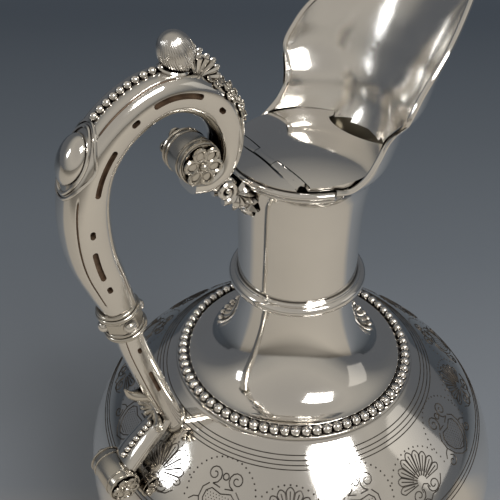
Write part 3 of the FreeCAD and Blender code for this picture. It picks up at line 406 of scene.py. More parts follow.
def ball(centre, ways, halves, rings, turns, ripples=0, ripple_share=0.0):
    """A ball stretched by its half-sizes along three ways, with ripples from pole to pole."""
    axes = [way * half for way, half in zip(ways, halves)]
    verts = []
    for t in even_shares(rings):
        tilt = pi * t
        for turn in circle(turns):
            reach = sin(tilt) * (1 + ripple_share * cos(ripples * turn))
            verts.append(Vector(centre) + axes[0] * (reach * cos(turn))
                         + axes[1] * (reach * sin(turn)) + axes[2] * cos(tilt))
    return verts, skin(rings + 1, turns)


def tube(points, radius, turns, closed=False):
    """A round tube along points, with one radius or a list of them."""
    points = [Vector(p) for p in points]
    count = len(points)
    radii = radius if isinstance(radius, list) else [radius] * count
    verts = []
    side = None
    for index, point in enumerate(points):
        before = points[index - 1] if index or closed else point
        after = points[(index + 1) % count] if index < count - 1 or closed else point
        ahead = (after - before).normalized()
        if side is None:
            side = ahead.orthogonal().normalized()
        side = (side - ahead * side.dot(ahead)).normalized()
        verts += hoop(point, side * radii[index], ahead.cross(side) * radii[index], turns)
    return verts, skin(count, turns, loop=closed, caps=not closed)


def joined(shapes):
    """Several shapes as one."""
    verts, faces = [], []
    for more_verts, more_faces in shapes:
        base = len(verts)
        verts += list(more_verts)
        faces += [tuple(base + index for index in face) for face in more_faces]
    return verts, faces


def smoothed(mesh, sharp_deg, fresh=True):
    """Smooth a mesh up to its sharp edges. A fresh one first loses doubled points and wrong normals."""
    work = bmesh.new()
    work.from_mesh(mesh)
    if fresh:
        bmesh.ops.remove_doubles(work, verts=work.verts, dist=DOUBLE_GAP)
        bmesh.ops.recalc_face_normals(work, faces=work.faces)
    for face in work.faces:
        face.smooth = True
    limit = radians(sharp_deg)
    for edge in work.edges:
        edge.smooth = edge.calc_face_angle(0.0) < limit
    work.to_mesh(mesh)
    work.free()


def shape_object(name, shapes, paint_name, sharp_deg=SHARP_DEG):
    verts, faces = joined(shapes)
    mesh = bpy.data.meshes.new(name)
    mesh.from_pydata([Vector(v) * MM for v in verts], [], faces)
    smoothed(mesh, sharp_deg)
    mesh.materials.append(paint[paint_name])
    return new_object(name, mesh)


def piece(name, shapes, paint_name, body="ewer", sharp_deg=SHARP_DEG):
    """A piece of the visual model that rides on a body."""
    thing = shape_object(name, shapes, paint_name, sharp_deg)
    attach(thing, body)
    return thing


def round_edges(thing, width, segments=2):
    """Soften a piece's sharp edges."""
    bevel = thing.modifiers.new("edge", "BEVEL")
    bevel.width = width * MM
    bevel.segments = segments
    bevel.limit_method = "ANGLE"
    bevel.angle_limit = radians(SHARP_DEG)
    bevel.use_clamp_overlap = True
    return thing


def lathe(name, corners, steps, turns):
    """A turned piece of sheet silver from its closed half outline."""
    points = profile(corners, steps)
    verts = [(r * cos(turn), r * sin(turn), z) for turn in circle(turns) for r, z in points]
    faces = [face for face in skin(turns, len(points), loop=True)
             if any(hypot(*verts[index][:2]) > AXIS_GAP for index in face)]
    return round_edges(piece(name, [(verts, faces)], "sheet"), EDGE_WIDTH)


# Turned pieces

WALL, WALL_SLANT = 1.1, 0.78
GIRTH_RADIUS, GIRTH_Z, LOWER_BULGE = 69.5, 114.0, 0.0995
TURN_RADIUS, TURN_Z, UPPER_BULGE = 57.9, 142.0, 0.021
DISC_RADIUS, DISC_Z, DISC_HOLE = 38.0, 157.9, 31.0
BOWL_BULGE = 0.1564
NECK_RADIUS = 18.0
FLARE_REACH, FLARE_DEPTH, FLARE_TOP, FLARE_RISE, FLARE_LIP, FLARE_STEPS = 33.9, 17.2, 190.0, 30.0, 0.6, 32
RING_HOLE, RING_RADIUS, RING_LOW, RING_HIGH = 17.9, 19.0, 189.5, 194.1
RING_STEP, RING_RISE, RING_BULGE = 0.3, 0.6, 0.5
FOOT_HOLE, FOOT_EDGE, FOOT_BASE, FOOT_BASE_Z, FOOT_STEP_Z = 38.0, 41.5, 43.0, 4.5, 6.0
FOOT_FLARE, FOOT_FLARE_Z, FOOT_NECK, FOOT_TOP, FOOT_BULGE = 36.5, 7.6, 11.0, 29.0, 0.2
KNOP_FOOT, KNOP_RADIUS, KNOP_TOP, KNOP_BULGE = 12.0, 14.0, 34.0, 0.3
BEAD_RADIUS, BEAD_GAP, BEAD_SINK = 1.5, 0.14, 0.25
SHOULDER_BEAD_RING, FOOT_BEAD_RING, FOOT_BEAD_Z = 36.0, 39.0, 6.75

SHOULDER = [(GIRTH_RADIUS, GIRTH_Z, LOWER_BULGE), (TURN_RADIUS, TURN_Z, UPPER_BULGE), (DISC_RADIUS, DISC_Z)]
SHOULDER_INSIDE = [
    (DISC_HOLE, DISC_Z), (DISC_HOLE, DISC_Z - WALL), (DISC_RADIUS - WALL_SLANT, DISC_Z - WALL, -UPPER_BULGE),
    (TURN_RADIUS - WALL_SLANT, TURN_Z - WALL_SLANT, -LOWER_BULGE), (GIRTH_RADIUS - WALL, GIRTH_Z)]
BOWL = [
    (0.0, KNOP_TOP), (KNOP_RADIUS, KNOP_TOP, BOWL_BULGE), (GIRTH_RADIUS, GIRTH_Z),
    (GIRTH_RADIUS - WALL, GIRTH_Z, -BOWL_BULGE), (KNOP_RADIUS - WALL / 2, KNOP_TOP + WALL),
    (0.0, KNOP_TOP + WALL)]
NECK_RING = [
    (RING_HOLE, RING_LOW), (RING_RADIUS - RING_STEP, RING_LOW),
    (RING_RADIUS, RING_LOW + RING_RISE, RING_BULGE), (RING_RADIUS, RING_HIGH - RING_RISE),
    (RING_RADIUS - RING_STEP, RING_HIGH), (RING_HOLE, RING_HIGH)]
FOOT = [
    (FOOT_HOLE, FOOT_BASE_Z), (FOOT_EDGE, FOOT_BASE_Z), (FOOT_EDGE, FOOT_STEP_Z), (FOOT_FLARE, FOOT_STEP_Z),
    (FOOT_FLARE, FOOT_FLARE_Z, -FOOT_BULGE), (FOOT_NECK, FOOT_TOP), (FOOT_NECK - WALL, FOOT_TOP, FOOT_BULGE),
    (FOOT_FLARE - WALL, FOOT_FLARE_Z - WALL), (FOOT_FLARE - WALL, FOOT_STEP_Z - WALL),
    (FOOT_HOLE, FOOT_STEP_Z - WALL)]
FOOT_RIM = [
    (FOOT_HOLE, 0.0), (FOOT_BASE, 0.0, FOOT_BULGE), (FOOT_EDGE, FOOT_BASE_Z), (FOOT_HOLE, FOOT_BASE_Z)]
KNOP = [(0.0, FOOT_TOP), (KNOP_FOOT, FOOT_TOP, KNOP_BULGE), (KNOP_RADIUS, KNOP_TOP), (0.0, KNOP_TOP)]


def neck_base_line():
    """The lower neck's outline: a trumpet from the bead ring up to the neck ring."""
    outer, inner = [], []
    for t in even_shares(FLARE_STEPS):
        turn = pi / 2 * (1 - t)
        reach = FLARE_REACH - FLARE_DEPTH * cos(turn)
        outer.append((reach, FLARE_TOP - FLARE_RISE * sin(turn)))
        inner.insert(0, (reach - WALL, FLARE_TOP - (FLARE_RISE + WALL) * sin(turn)))
    top = FLARE_TOP + FLARE_LIP
    inside = NECK_RADIUS - WALL
    return [(DISC_RADIUS, DISC_Z), (DISC_RADIUS, DISC_Z + WALL), (FLARE_REACH, DISC_Z + WALL)] + outer + [
        (NECK_RADIUS, top), (NECK_RADIUS, JOINT_Z), (inside, JOINT_Z), (inside, top)] + inner + [
        (FLARE_REACH - WALL, DISC_Z)]


def make_turned():
    """Each turned piece with the node it replaces, its outline, steps on an arc and steps round."""
    for name, node, line, steps, turns in (
            ("shoulder_sheet", "shoulder", SHOULDER + SHOULDER_INSIDE, 20, 256),
            ("bowl_sheet", "bowl", BOWL, 40, 256),
            ("neck_base_sheet", "neck_base", neck_base_line(), 24, 192),
            ("neck_ring_roll", "neck_ring", NECK_RING, 20, 192),
            ("foot_sheet", "foot", FOOT, 24, 160),
            ("foot_rim_roll", "foot_rim", FOOT_RIM, 12, 160),
            ("foot_knop_roll", "foot_knop", KNOP, 16, 128)):
        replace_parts(lathe(name, line, steps, turns), node)


def bead_circle(name, node, ring, level):
    """A beaded border round the ewer."""
    shapes = []
    for turn in circle(floor(TAU * ring / (2 * BEAD_RADIUS + BEAD_GAP))):
        out = Vector((cos(turn), sin(turn), 0.0))
        side = Vector((-out.y, out.x, 0.0))
        shapes.append(ball(out * ring + UPWARD * level, (out, side, UPWARD), [BEAD_RADIUS] * 3, 12, 20))
    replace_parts(piece(name, shapes, "bead"), node)


# Neck and lip

NECK_SHARES = ((0.0, 0.0), (0.32, -0.02), (0.63, 0.08), (0.82, 0.28), (0.92, 0.57), (1.0, 1.0))
LIP_SHARES = (
    (0.113, 0.078, 0.418, 0.822), (0.234, 0.120, 0.400, 0.844), (0.355, 0.178, 0.382, 0.985),
    (0.496, 0.225, 0.385, 1.000), (0.637, 0.282, 0.391, 1.000), (0.819, 0.382, 0.409, 0.964),
    (1.020, 0.564, 0.436, 0.873))
NOTCH_SHARES = ((-0.091, 0.0), (-0.018, -0.016), (0.045, 0.010), (0.105, 0.060), (0.147, 0.117),
                (0.193, 0.206), (0.218, 0.254))
TIP_SHARES = ((0.218, 0.254), (0.225, 0.3125), (0.231, 0.383), (0.302, 0.508), (0.376, 0.593),
              (0.491, 0.6875), (0.636, 0.798), (0.818, 0.909), (1.020, 1.0))
MOUTH_RADIUS, MOUTH_X = 22.5, 1.9
LIP_REACH, LIP_RISE, LIP_WIDTH = 55.0, 49.6, 27.5
BACK_STEPS, NOTCH_STEPS, TIP_STEPS, LIP_STEPS = 36, 36, 90, 80
FOOT_TURN_STEP, TIP_LIFT, SWEEP_DROP = 0.0015, 0.35, 6.0
LIP_SHARP_DEG, LIP_EDGE_WIDTH, LIP_WIRE_RADIUS = 50.0, 0.3, 0.8

LIP_ROWS = []
for rise_share, mouth_share in NECK_SHARES:
    neck = NECK_RADIUS + (MOUTH_RADIUS - NECK_RADIUS) * mouth_share
    LIP_ROWS.append((JOINT_Z + (RIM_Z - JOINT_Z) * rise_share, MOUTH_X * mouth_share, neck, neck))
for rise_share, centre_share, depth_share, width_share in LIP_SHARES:
    LIP_ROWS.append((RIM_Z + LIP_RISE * rise_share, LIP_REACH * centre_share, LIP_REACH * depth_share,
                     LIP_WIDTH * width_share))


def lip_point(turn, z, inset):
    """A point of the neck and lip at a turn from the spout, drawn in by an inset."""
    centre, depth, width = smooth_rows(LIP_ROWS, z)
    return Vector((centre + (depth - inset) * cos(turn), (width - inset) * sin(turn), z))


def lip_columns():
    """Foot turn, edge turn and edge height of each column from the back round to the tip."""
    back = MOUTH_X - MOUTH_RADIUS
    reach = LIP_REACH * NOTCH_SHARES[0][0] - back
    edge = [(back + reach * (1 - cos(pi / 2 * t)), RIM_Z) for t in even_shares(BACK_STEPS)]
    for shares, count in ((NOTCH_SHARES, NOTCH_STEPS), (TIP_SHARES, TIP_STEPS)):
        points = [(LIP_REACH * x, RIM_Z + LIP_RISE * z) for x, z in shares]
        edge += [tuple(p) for p in along(points, count)[1:]]
    columns = []
    foot = pi
    for x, z in edge:
        centre, depth, width = smooth_rows(LIP_ROWS, z)
        share = (x - centre) / depth
        if share >= 1.0:
            break
        turn = acos(max(-1.0, share))
        foot = min(foot - (FOOT_TURN_STEP if columns else 0.0), turn)
        columns.append((foot, turn, z))
    columns.append((0.0, 0.0, columns[-1][2] + TIP_LIFT))
    return columns


def make_lip():
    """Neck and lip as one sheet, with a rolled wire along the pouring edge."""
    columns = lip_columns()
    columns += [(-foot, -turn, top) for foot, turn, top in columns[-2:0:-1]]
    verts, edge = [], []
    for foot, turn, top in columns:
        lines = []
        for inset in (0.0, WALL):
            line = []
            for t in even_shares(LIP_STEPS):
                z = JOINT_Z + (top - JOINT_Z) * t
                lift = max(0.0, (z - RIM_Z + SWEEP_DROP) / (top - RIM_Z + SWEEP_DROP))
                line.append(lip_point(foot + (turn - foot) * ease(lift), z, inset))
            lines.append(line)
        outer, inner = lines
        verts += outer + inner[::-1]
        edge.append((outer[-1] + inner[-1]) / 2)
    faces = skin(len(columns), 2 * (LIP_STEPS + 1), loop=True)
    thing = piece("neck_lip_sheet", [(verts, faces)], "sheet", sharp_deg=LIP_SHARP_DEG)
    thing.data.materials.append(paint["inner"])
    thing.data.materials.append(paint["shade"])
    # Inside faces get the inner paint above the rim and the painted shade paint below it.
    for face in thing.data.polygons:
        middle = face.center / MM
        centre = smooth_rows(LIP_ROWS, middle.z)[0]
        if face.normal.x * (middle.x - centre) + face.normal.y * middle.y < 0:
            face.material_index = 2 if middle.z < RIM_Z else 1
    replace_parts(round_edges(thing, LIP_EDGE_WIDTH, 3), "neck_lip")
    wire = edge[BACK_STEPS:len(columns) - BACK_STEPS + 1]
    piece("lip_edge_wire", [tube(wire, LIP_WIRE_RADIUS, 10)], "sheet")


# Limbs of the handle

HANDLE_REACH, HANDLE_RISE = 66.7, 105.7
ARM_SHARES = (
    (-0.885, 0.439, 0.75, 0.76), (-0.930, 0.533, 0.90, 0.90), (-0.966, 0.617, 0.97, 0.96),
    (-0.979, 0.705, 0.98, 0.99), (-0.968, 0.788, 0.95, 0.99), (-0.930, 0.859, 0.90, 0.99),
    (-0.857, 0.921, 0.86, 1.00), (-0.755, 0.966, 0.84, 0.99), (-0.645, 0.986, 0.84, 0.97),
    (-0.541, 0.974, 0.82, 0.96), (-0.444, 0.932, 0.79, 0.93), (-0.385, 0.869, 0.72, 0.89),
    (-0.375, 0.804, 0.60, 0.83), (-0.409, 0.748, 0.50, 0.79), (-0.478, 0.723, 0.45, 0.75),
    (-0.548, 0.729, 0.40, 0.71))
STEM_SHARES = (
    (-0.690, -0.058, 0.85, 0.95), (-0.726, 0.018, 0.95, 1.00), (-0.771, 0.114, 1.00, 1.00),
    (-0.810, 0.203, 1.00, 1.00), (-0.846, 0.293, 1.00, 1.00), (-0.866, 0.367, 1.00, 1.00))
TAIL_SHARES = (
    (-0.960, -0.158, 0.80, 1.15), (-0.900, -0.121, 0.95, 1.10), (-0.835, -0.086, 1.00, 1.00),
    (-0.775, -0.056, 0.95, 0.90), (-0.718, -0.018, 0.70, 0.80))
BRACKET_SHARES = ((-0.262, 0.600, 1.0, 1.0), (-0.37, 0.675, 0.75, 0.85), (-0.47, 0.710, 0.55, 0.75))
ARM_SIZE, STEM_SIZE, BRACKET_SIZE = 12.6, 7.8, 7.0
TAIL_THICKNESS, TAIL_WIDTH = 5.0, 9.0
LIMB_SQUARE, BRACKET_SQUARE = 2.6, 2.2
PATH_STEP_SHARE = 0.002


def handle_spot(reach_share, rise_share):
    """A place in the handle's plane, in shares of its reach and its rise over the beads."""
    return Vector((HANDLE_REACH * reach_share, 0.0, BEAD_Z + HANDLE_RISE * rise_share))


class Limb:
    """A curved bar in the handle's plane, from its lower end."""

    def __init__(self, shares, thickness, width):
        rows = []
        for reach_share, rise_share, thick_share, wide_share in shares:
            spot = handle_spot(reach_share, rise_share)
            rows.append((spot.x, spot.z, thickness * thick_share / 2, width * wide_share / 2))
        self.rows = curve_rows(rows)
        self.length = self.rows[-1][0]

    def at(self, share):
        """Place, direction along, direction out, half-thickness and half-width."""
        x, z, thick, wide = smooth_rows(self.rows, share * self.length)
        low = smooth_rows(self.rows, max(0.0, share - PATH_STEP_SHARE) * self.length)
        high = smooth_rows(self.rows, min(1.0, share + PATH_STEP_SHARE) * self.length)
        ahead = Vector((high[0] - low[0], 0.0, high[1] - low[1])).normalized()
        return Vector((x, 0.0, z)), ahead, Vector((-ahead.z, 0.0, ahead.x)), thick, wide


def power(part, square):
    return copysign(abs(part) ** (2 / square), part)


def skin_spot(here, turn, scale, square=LIMB_SQUARE):
    """A point on a limb's skin at a turn round its section."""
    place, ahead, out, thick, wide = here
    return (place + out * (thick * scale * power(cos(turn), square))
            + ACROSS * (wide * scale * power(sin(turn), square)))


def skin_lift(side, thick, wide):
    """Height of a limb's skin over its middle, at a distance to the side."""
    return thick * (1 - (abs(side) / wide) ** LIMB_SQUARE) ** (1 / LIMB_SQUARE)


# Chased grooves: angle and half-width in degrees, depth share, and both ends as shares of the limb
ARM_GROOVES = ((54, 2.4, 0.07, 0.045, 0.345), (37, 2.4, 0.07, 0.452, 0.632), (128, 2.4, 0.07, 0.03, 0.16))
STEM_GROOVES = ((60, 2.0, 0.05, 0.16, 0.97),)
GROOVE_FADE_SHARE, GROOVE_FLOOR_SHARE, GROOVE_LINE_RADIUS = 0.012, 1.02, 0.22
# Slots cut in both sides: both ends as shares of the limb, and a share of the half-thickness out
ARM_SLOTS = ((0.352, 0.448, -0.08), (0.14, 0.21, 0.14), (0.572, 0.672, 0.12))
ARM_HOLES = ((0.256, 0.264, 0.10), (0.096, 0.104, 0.14), (0.516, 0.524, 0.06), (0.736, 0.744, -0.04))
STEM_SLOTS = ((0.42, 0.60, -0.1), (0.815, 0.835, -0.1))
ARM_SLOT_RADIUS, ARM_SLOT_FLOOR, ARM_HOLE_RADIUS, ARM_HOLE_FLOOR, ARM_CUT_TOP = 0.74, 4.9, 0.7, 4.2, 8.0
STEM_SLOT_RADIUS, STEM_SLOT_FLOOR, STEM_CUT_TOP = 0.6, 2.8, 6.0
SLOT_STEPS, SLOT_END_STEPS = 12, 8


def limb_shape(limb, stations, plain_count, square=LIMB_SQUARE, grooves=()):
    """A limb with its grooves, and with points closer together round them."""
    cuts = [(radians(angle), radians(spread), *rest) for angle, spread, *rest in grooves]
    half = [pi * t for t in even_shares(plain_count)]
    for angle, spread, depth, low, high in cuts:
        half += [angle + spread * k / 2 for k in range(-5, 6)]
    half = sorted(t for t in set(half) if 0.0 <= t <= pi)
    section = half + [-t for t in half[-2:0:-1]]
    verts = []
    for share in even_shares(stations):
        here = limb.at(share)
        for turn in section:
            scale = 1.0
            for angle, spread, depth, low, high in cuts:
                gap = (abs(turn) - angle) / spread
                fade = min(1.0, max(0.0, min(share - low, high - share) / GROOVE_FADE_SHARE))
                scale -= depth * fade * exp(-gap * gap)
            verts.append(skin_spot(here, turn, scale, square))
    return verts, skin(stations + 1, len(section), caps=True)


def groove_lines(limb, grooves, name):
    """The dark bottom of each chased groove along a limb."""
    shapes = []
    for angle, spread, depth, low, high in grooves:
        start, end = low + GROOVE_FADE_SHARE, high - GROOVE_FADE_SHARE
        for sign in SIDES:
            turn = sign * radians(angle)
            line = [skin_spot(limb.at(start + (end - start) * t), turn, 1.0 - depth * GROOVE_FLOOR_SHARE)
                    for t in even_shares(60)]
            shapes.append(tube(line, GROOVE_LINE_RADIUS, 6))
    piece(name, shapes, "pit")


def capsule(limb, slot, radius, inner, outer):
    """A round-ended slot along a limb, between two distances from the handle's plane."""
    low, high, out_share = slot
    ring = []
    for sign, start, end in ((1, low, high), (-1, high, low)):
        for t in even_shares(SLOT_STEPS):
            place, ahead, out, thick, wide = limb.at(start + (end - start) * t)
            ring.append(place + out * (thick * out_share + sign * radius))
        for t in even_shares(SLOT_END_STEPS)[1:-1]:
            way = out * cos(pi * t) + ahead * sin(pi * t)
            ring.append(place + out * (thick * out_share) + way * (sign * radius))
    verts = [p + ACROSS * inner for p in ring] + [p + ACROSS * outer for p in ring]
    return verts, skin(2, len(ring), caps=True)


def slot_cuts(limb, slots, radius, inner, outer):
    """The same slots in both sides of a limb, between two distances from the handle's plane."""
    return [capsule(limb, slot, radius, *sorted((sign * inner, sign * outer)))
            for slot in slots for sign in SIDES]


def carve(thing, shapes, paint_name):
    """Cut shapes out of a piece, leaving another paint in the cuts."""
    cutter = shape_object(thing.name + "_cuts", shapes, paint_name)
    cut = thing.modifiers.new("cuts", "BOOLEAN")
    cut.operation = "DIFFERENCE"
    cut.solver = "EXACT"
    cut.material_mode = "TRANSFER"
    cut.object = cutter
    bpy.context.view_layer.update()
    done = bpy.data.meshes.new_from_object(thing.evaluated_get(bpy.context.evaluated_depsgraph_get()))
    thing.modifiers.clear()
    thing.data = done
    bpy.data.objects.remove(cutter)
    smoothed(done, SHARP_DEG, fresh=False)
    return thing


# Cast ornament

BLADE_STEPS, BLADE_TIP, BLADE_EDGE_DROP, BLADE_BACK_DROP = 10, 0.04, 0.25, 0.7
DRUM_CROWN, DRUM_TURNS = 0.5, 48
BEAD_RISE_SHARE = 0.3
# Half-sizes of a petal and of a flower's eye, as shares of the flower's radius
PETAL_SHARES, EYE_SHARES = (0.36, 0.31, 0.10), (0.24, 0.24, 0.3)


def flower_shapes(centre, axis, radius, petals, turn_start=0.0):
    """Hollow rimmed petals about a ringed eye."""
    centre, axis = Vector(centre), Vector(axis).normalized()
    side = axis.orthogonal().normalized()
    other = axis.cross(side)
    shapes = []
    for turn in circle(petals):
        way = side * cos(turn_start + turn) + other * sin(turn_start + turn)
        cross = axis.cross(way)
        middle = centre + way * (radius * 0.62) + axis * (radius * 0.14)
        rim = hoop(middle, (way * 0.34 + axis * 0.05) * radius, cross * (radius * 0.29), 16)
        shapes.append(tube(rim, radius * 0.10, 8, True))
        halves = [radius * share for share in PETAL_SHARES]
        shapes.append(ball(middle - axis * (radius * 0.05), (way, cross, axis), halves, 8, 14))
    eye = centre + axis * (radius * 0.12)
    shapes.append(ball(eye, (side, other, axis), [radius * share for share in EYE_SHARES], 8, 12))
    ring = hoop(eye, side * (radius * 0.26), other * (radius * 0.26), 14)
    shapes.append(tube(ring, radius * 0.07, 6, True))
    return shapes


def fan_shapes(root, ahead, side, rise, radius, lobes, spread_deg):
    """A shell of long round lobes from a root, curving up along rise."""
    shapes = []
    for step in even_shares(lobes - 1):
        turn = radians(spread_deg) * (step - 0.5)
        way = ahead * cos(turn) + side * sin(turn)
        line = [Vector(root) + way * (radius * t) + rise * (radius * 0.32 * t * t) for t in even_shares(8)]
        shapes.append(tube(line, [radius * (0.07 + 0.11 * t) for t in even_shares(8)], 8))
        end = radius * 0.18
        ways = (way, way.cross(rise).normalized(), rise)
        shapes.append(ball(line[-1], ways, (end * 1.3, end, end), 6, 10))
    return shapes


def blades(root, axis, down, length, turns, width=0.34, thick=0.16):
    """Pointed leaf blades that spread both ways from a root over a face, each with a raised rib."""
    side = axis.cross(down).normalized()
    shapes = []
    for degrees, share in turns:
        for sign in ((1, -1) if degrees % 180 else (1,)):
            a = sign * radians(degrees)
            way = down * cos(a) + side * sin(a)
            across = axis.cross(way).normalized()
            reach = length * share
            verts = []
            for t in even_shares(BLADE_STEPS):
                half = across * (reach * width * sin(pi * t ** 0.8) ** 0.8 + BLADE_TIP)
                spot = root + way * (reach * t)
                spot += axis * (reach * (0.10 + 0.16 * sin(pi * t) - 0.12 * t))
                rib = axis * (reach * thick * sin(pi * (0.1 + 0.85 * t)))
                edge = spot - axis * BLADE_EDGE_DROP
                verts += [edge - half, spot - half * 0.55 + rib * 0.25, spot + rib,
                          spot + half * 0.55 + rib * 0.25, edge + half, spot - axis * BLADE_BACK_DROP]
            shapes.append((verts, skin(BLADE_STEPS + 1, 6, caps=True)))
    return shapes


def drum_shapes(centre, radius, half, ridges):
    """A swelling drum across the handle, with ridges at shares of its half-width."""
    points = [(0.0, -half)]
    for t in even_shares(24):
        y = half * (2 * t - 1)
        points.append((radius - DRUM_CROWN * (y / half) ** 2, y))
    points.append((0.0, half))
    verts = [Vector((centre.x + r * cos(turn), y, centre.z + r * sin(turn)))
             for turn in circle(DRUM_TURNS) for r, y in points]
    shapes = [(verts, skin(DRUM_TURNS, len(points), loop=True, ring=False))]
    for share, thick in ridges:
        reach = radius - DRUM_CROWN * share * share
        for sign in SIDES:
            ring = hoop(centre + ACROSS * (sign * half * share), FORWARD * reach, UPWARD * reach, DRUM_TURNS)
            shapes.append(tube(ring, thick, 8, True))
    return shapes


def rosettes(centre, half, radius):
    """A flower on each end of a drum."""
    shapes = []
    for sign in SIDES:
        shapes += flower_shapes(centre + ACROSS * (sign * half), ACROSS * sign, radius, 6)
    return shapes


def ridge_beads(name, node, limb, low, high, count, radius):
    """A row of beads along a limb's ridge."""
    shapes = []
    for t in even_shares(count - 1):
        place, ahead, out, thick, wide = limb.at(low + (high - low) * t)
        centre = place + out * (thick + radius * BEAD_RISE_SHARE)
        shapes.append(ball(centre, (ahead, ACROSS, out), [radius] * 3, 12, 18))
    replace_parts(piece(name, shapes, "cast"), node)


# Pieces of the handle

ARM_BEAD_RADIUS, TAIL_BEAD_RADIUS = 1.12, 1.05
BOSS_SHARE, BOSS_SINK, BOSS_HALVES = 0.40, 0.7, (6.5, 4.8, 3.2)
# Half-length, half-width and wire radius of each line round the boss
BOSS_RINGS = ((6.95, 4.95, 0.5), (8.1, 6.1, 0.42))
EDGE_SHARE = 0.999
KNOB_SHARE, KNOB_RISE, KNOB_AHEAD, KNOB_LEAN_SHARE = 0.632, 3.7, 0.3, 0.6
KNOB_HALVES, KNOB_RIPPLES, KNOB_RIPPLE_SHARE = (4.4, 4.5, 5.6), 48, 0.012
SADDLE_SINK, SADDLE_SAG, SADDLE_LENGTH, SADDLE_WIDTH, SADDLE_RADIUS = 0.05, 0.35, 3.6, 3.5, 0.55
LEAF_SHARE, LEAF_OUT_SHARE, LEAF_BACK, LEAF_SIDE_SHARE = 0.672, 0.74, 0.6, 0.5
LEAF_TILT_SHARE, LEAF_CURL_SHARE, LEAF_LENGTH = 0.25, 0.3, 5.2
# Share along the arm and distance to the side of each flower on the crest
CREST_PLACES = ((0.700, -2.9), (0.700, 2.9), (0.724, 0.0), (0.738, -3.8), (0.738, 3.8),
                (0.762, -0.9), (0.782, -3.3), (0.782, 3.0), (0.806, 0.0))
CREST_RADIUS, CREST_LEAN_SHARE, CREST_TURN = 2.8, 0.22, 0.7
CURL_RADIUS, CURL_HALF, CURL_FLOWER, CURL_RIDGES = 5.9, 5.0, 5.4, ((0.84, 0.42), (0.5, 0.3))
BRACKET_ROOT_SHARE, BRACKET_BLADE, BRACKET_SIDE_BLADE = 0.62, 6.0, 7.0
BRACKET_SIDE_SHARE, SIDE_BLADE_SHARE = 0.85, 0.2
SCROLL_X, SCROLL_Z, SCROLL_REACH, SCROLL_SIDE, SCROLL_SPREAD = -26.6, 231.6, 3.1, 2.6, 0.5
SCROLL_START_DEG, SCROLL_SWEEP_DEG, SCROLL_WIRE, SCROLL_EYE = 250, 540, 1.0, 0.9
COLLAR_RADIUS, COLLAR_BAND, COLLAR_FLAT_SHARE, COLLAR_SHARP_DEG = 5.1, 5.4, 0.97, 28.0
COLLAR_LOW, COLLAR_HIGH, COLLAR_TURNS = 0.15, 2.75, 64
# Distance out, height, half-width, half-height and steps of each roll at the collar's ends
COLLAR_ROLLS = ((5.35, 0.75, 0.75, 0.75, 12), (5.2, 2.05, 0.45, 0.5, 8))
BAND_LOW, BAND_LOW_EDGE, BAND_HIGH_EDGE, BAND_HIGH = 2.9, 3.3, 3.5, 3.1
STUD_COUNT, STUD_REACH, STUD_HALVES = 4, 5.5, (1.75, 1.75, 1.5)
STUD_RING, STUD_RING_DROP, STUD_RING_WIRE = 1.6, 0.25, 0.32
TAIL_DRUM_RADIUS, TAIL_DRUM_HALF, TAIL_FLOWER, TAIL_RIDGES = 5.1, 6.5, 4.1, ((0.97, 0.4), (0.6, 0.28))
SHELL_SHARE, SHELL_OUT_SHARE, SHELL_AHEAD, SHELL_LIFT_SHARE, SHELL_LENGTH = 0.13, 0.9, 2.5, 0.1, 5.6
TENDRIL_LINE = ((-51.5, 168.0), (-55.5, 169.6), (-58.6, 171.6), (-60.2, 174.5))
TENDRIL_STEPS, TENDRIL_ROOT, TENDRIL_TAPER = 14, 2.9, 2.6
PAD_SLOPE, PAD_FACE = Vector((-0.782, 0.0, -0.624)), Vector((-0.624, 0.0, 0.782))
PAD_SINK, PAD_UP, PAD_BLADE, PAD_BALL_SINK, PAD_HALVES = 2.6, 1.0, 6.6, 1.4, (4.6, 4.2, 2.2)


def make_boss(arm):
    place, ahead, out, thick, wide = arm.at(BOSS_SHARE)
    boss = ball(place + out * (thick - BOSS_SINK), (ahead, ACROSS, out), BOSS_HALVES, 24, 40)
    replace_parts(piece("arm_boss_oval", [boss], "cast"), "arm_boss")
    shapes = []
    for length, width, wire in BOSS_RINGS:
        ring = []
        for a in circle(64):
            place, ahead, out, thick, wide = arm.at(BOSS_SHARE + length * cos(a) / arm.length)
            side = width * sin(a)
            side = copysign(min(abs(side), wide * EDGE_SHARE), side)
            ring.append(place + out * skin_lift(side, thick, wide) + ACROSS * side)
        shapes.append(tube(ring, wire, 8, True))
    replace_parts(piece("boss_rim_lines", shapes, "cast"), "boss_frame")


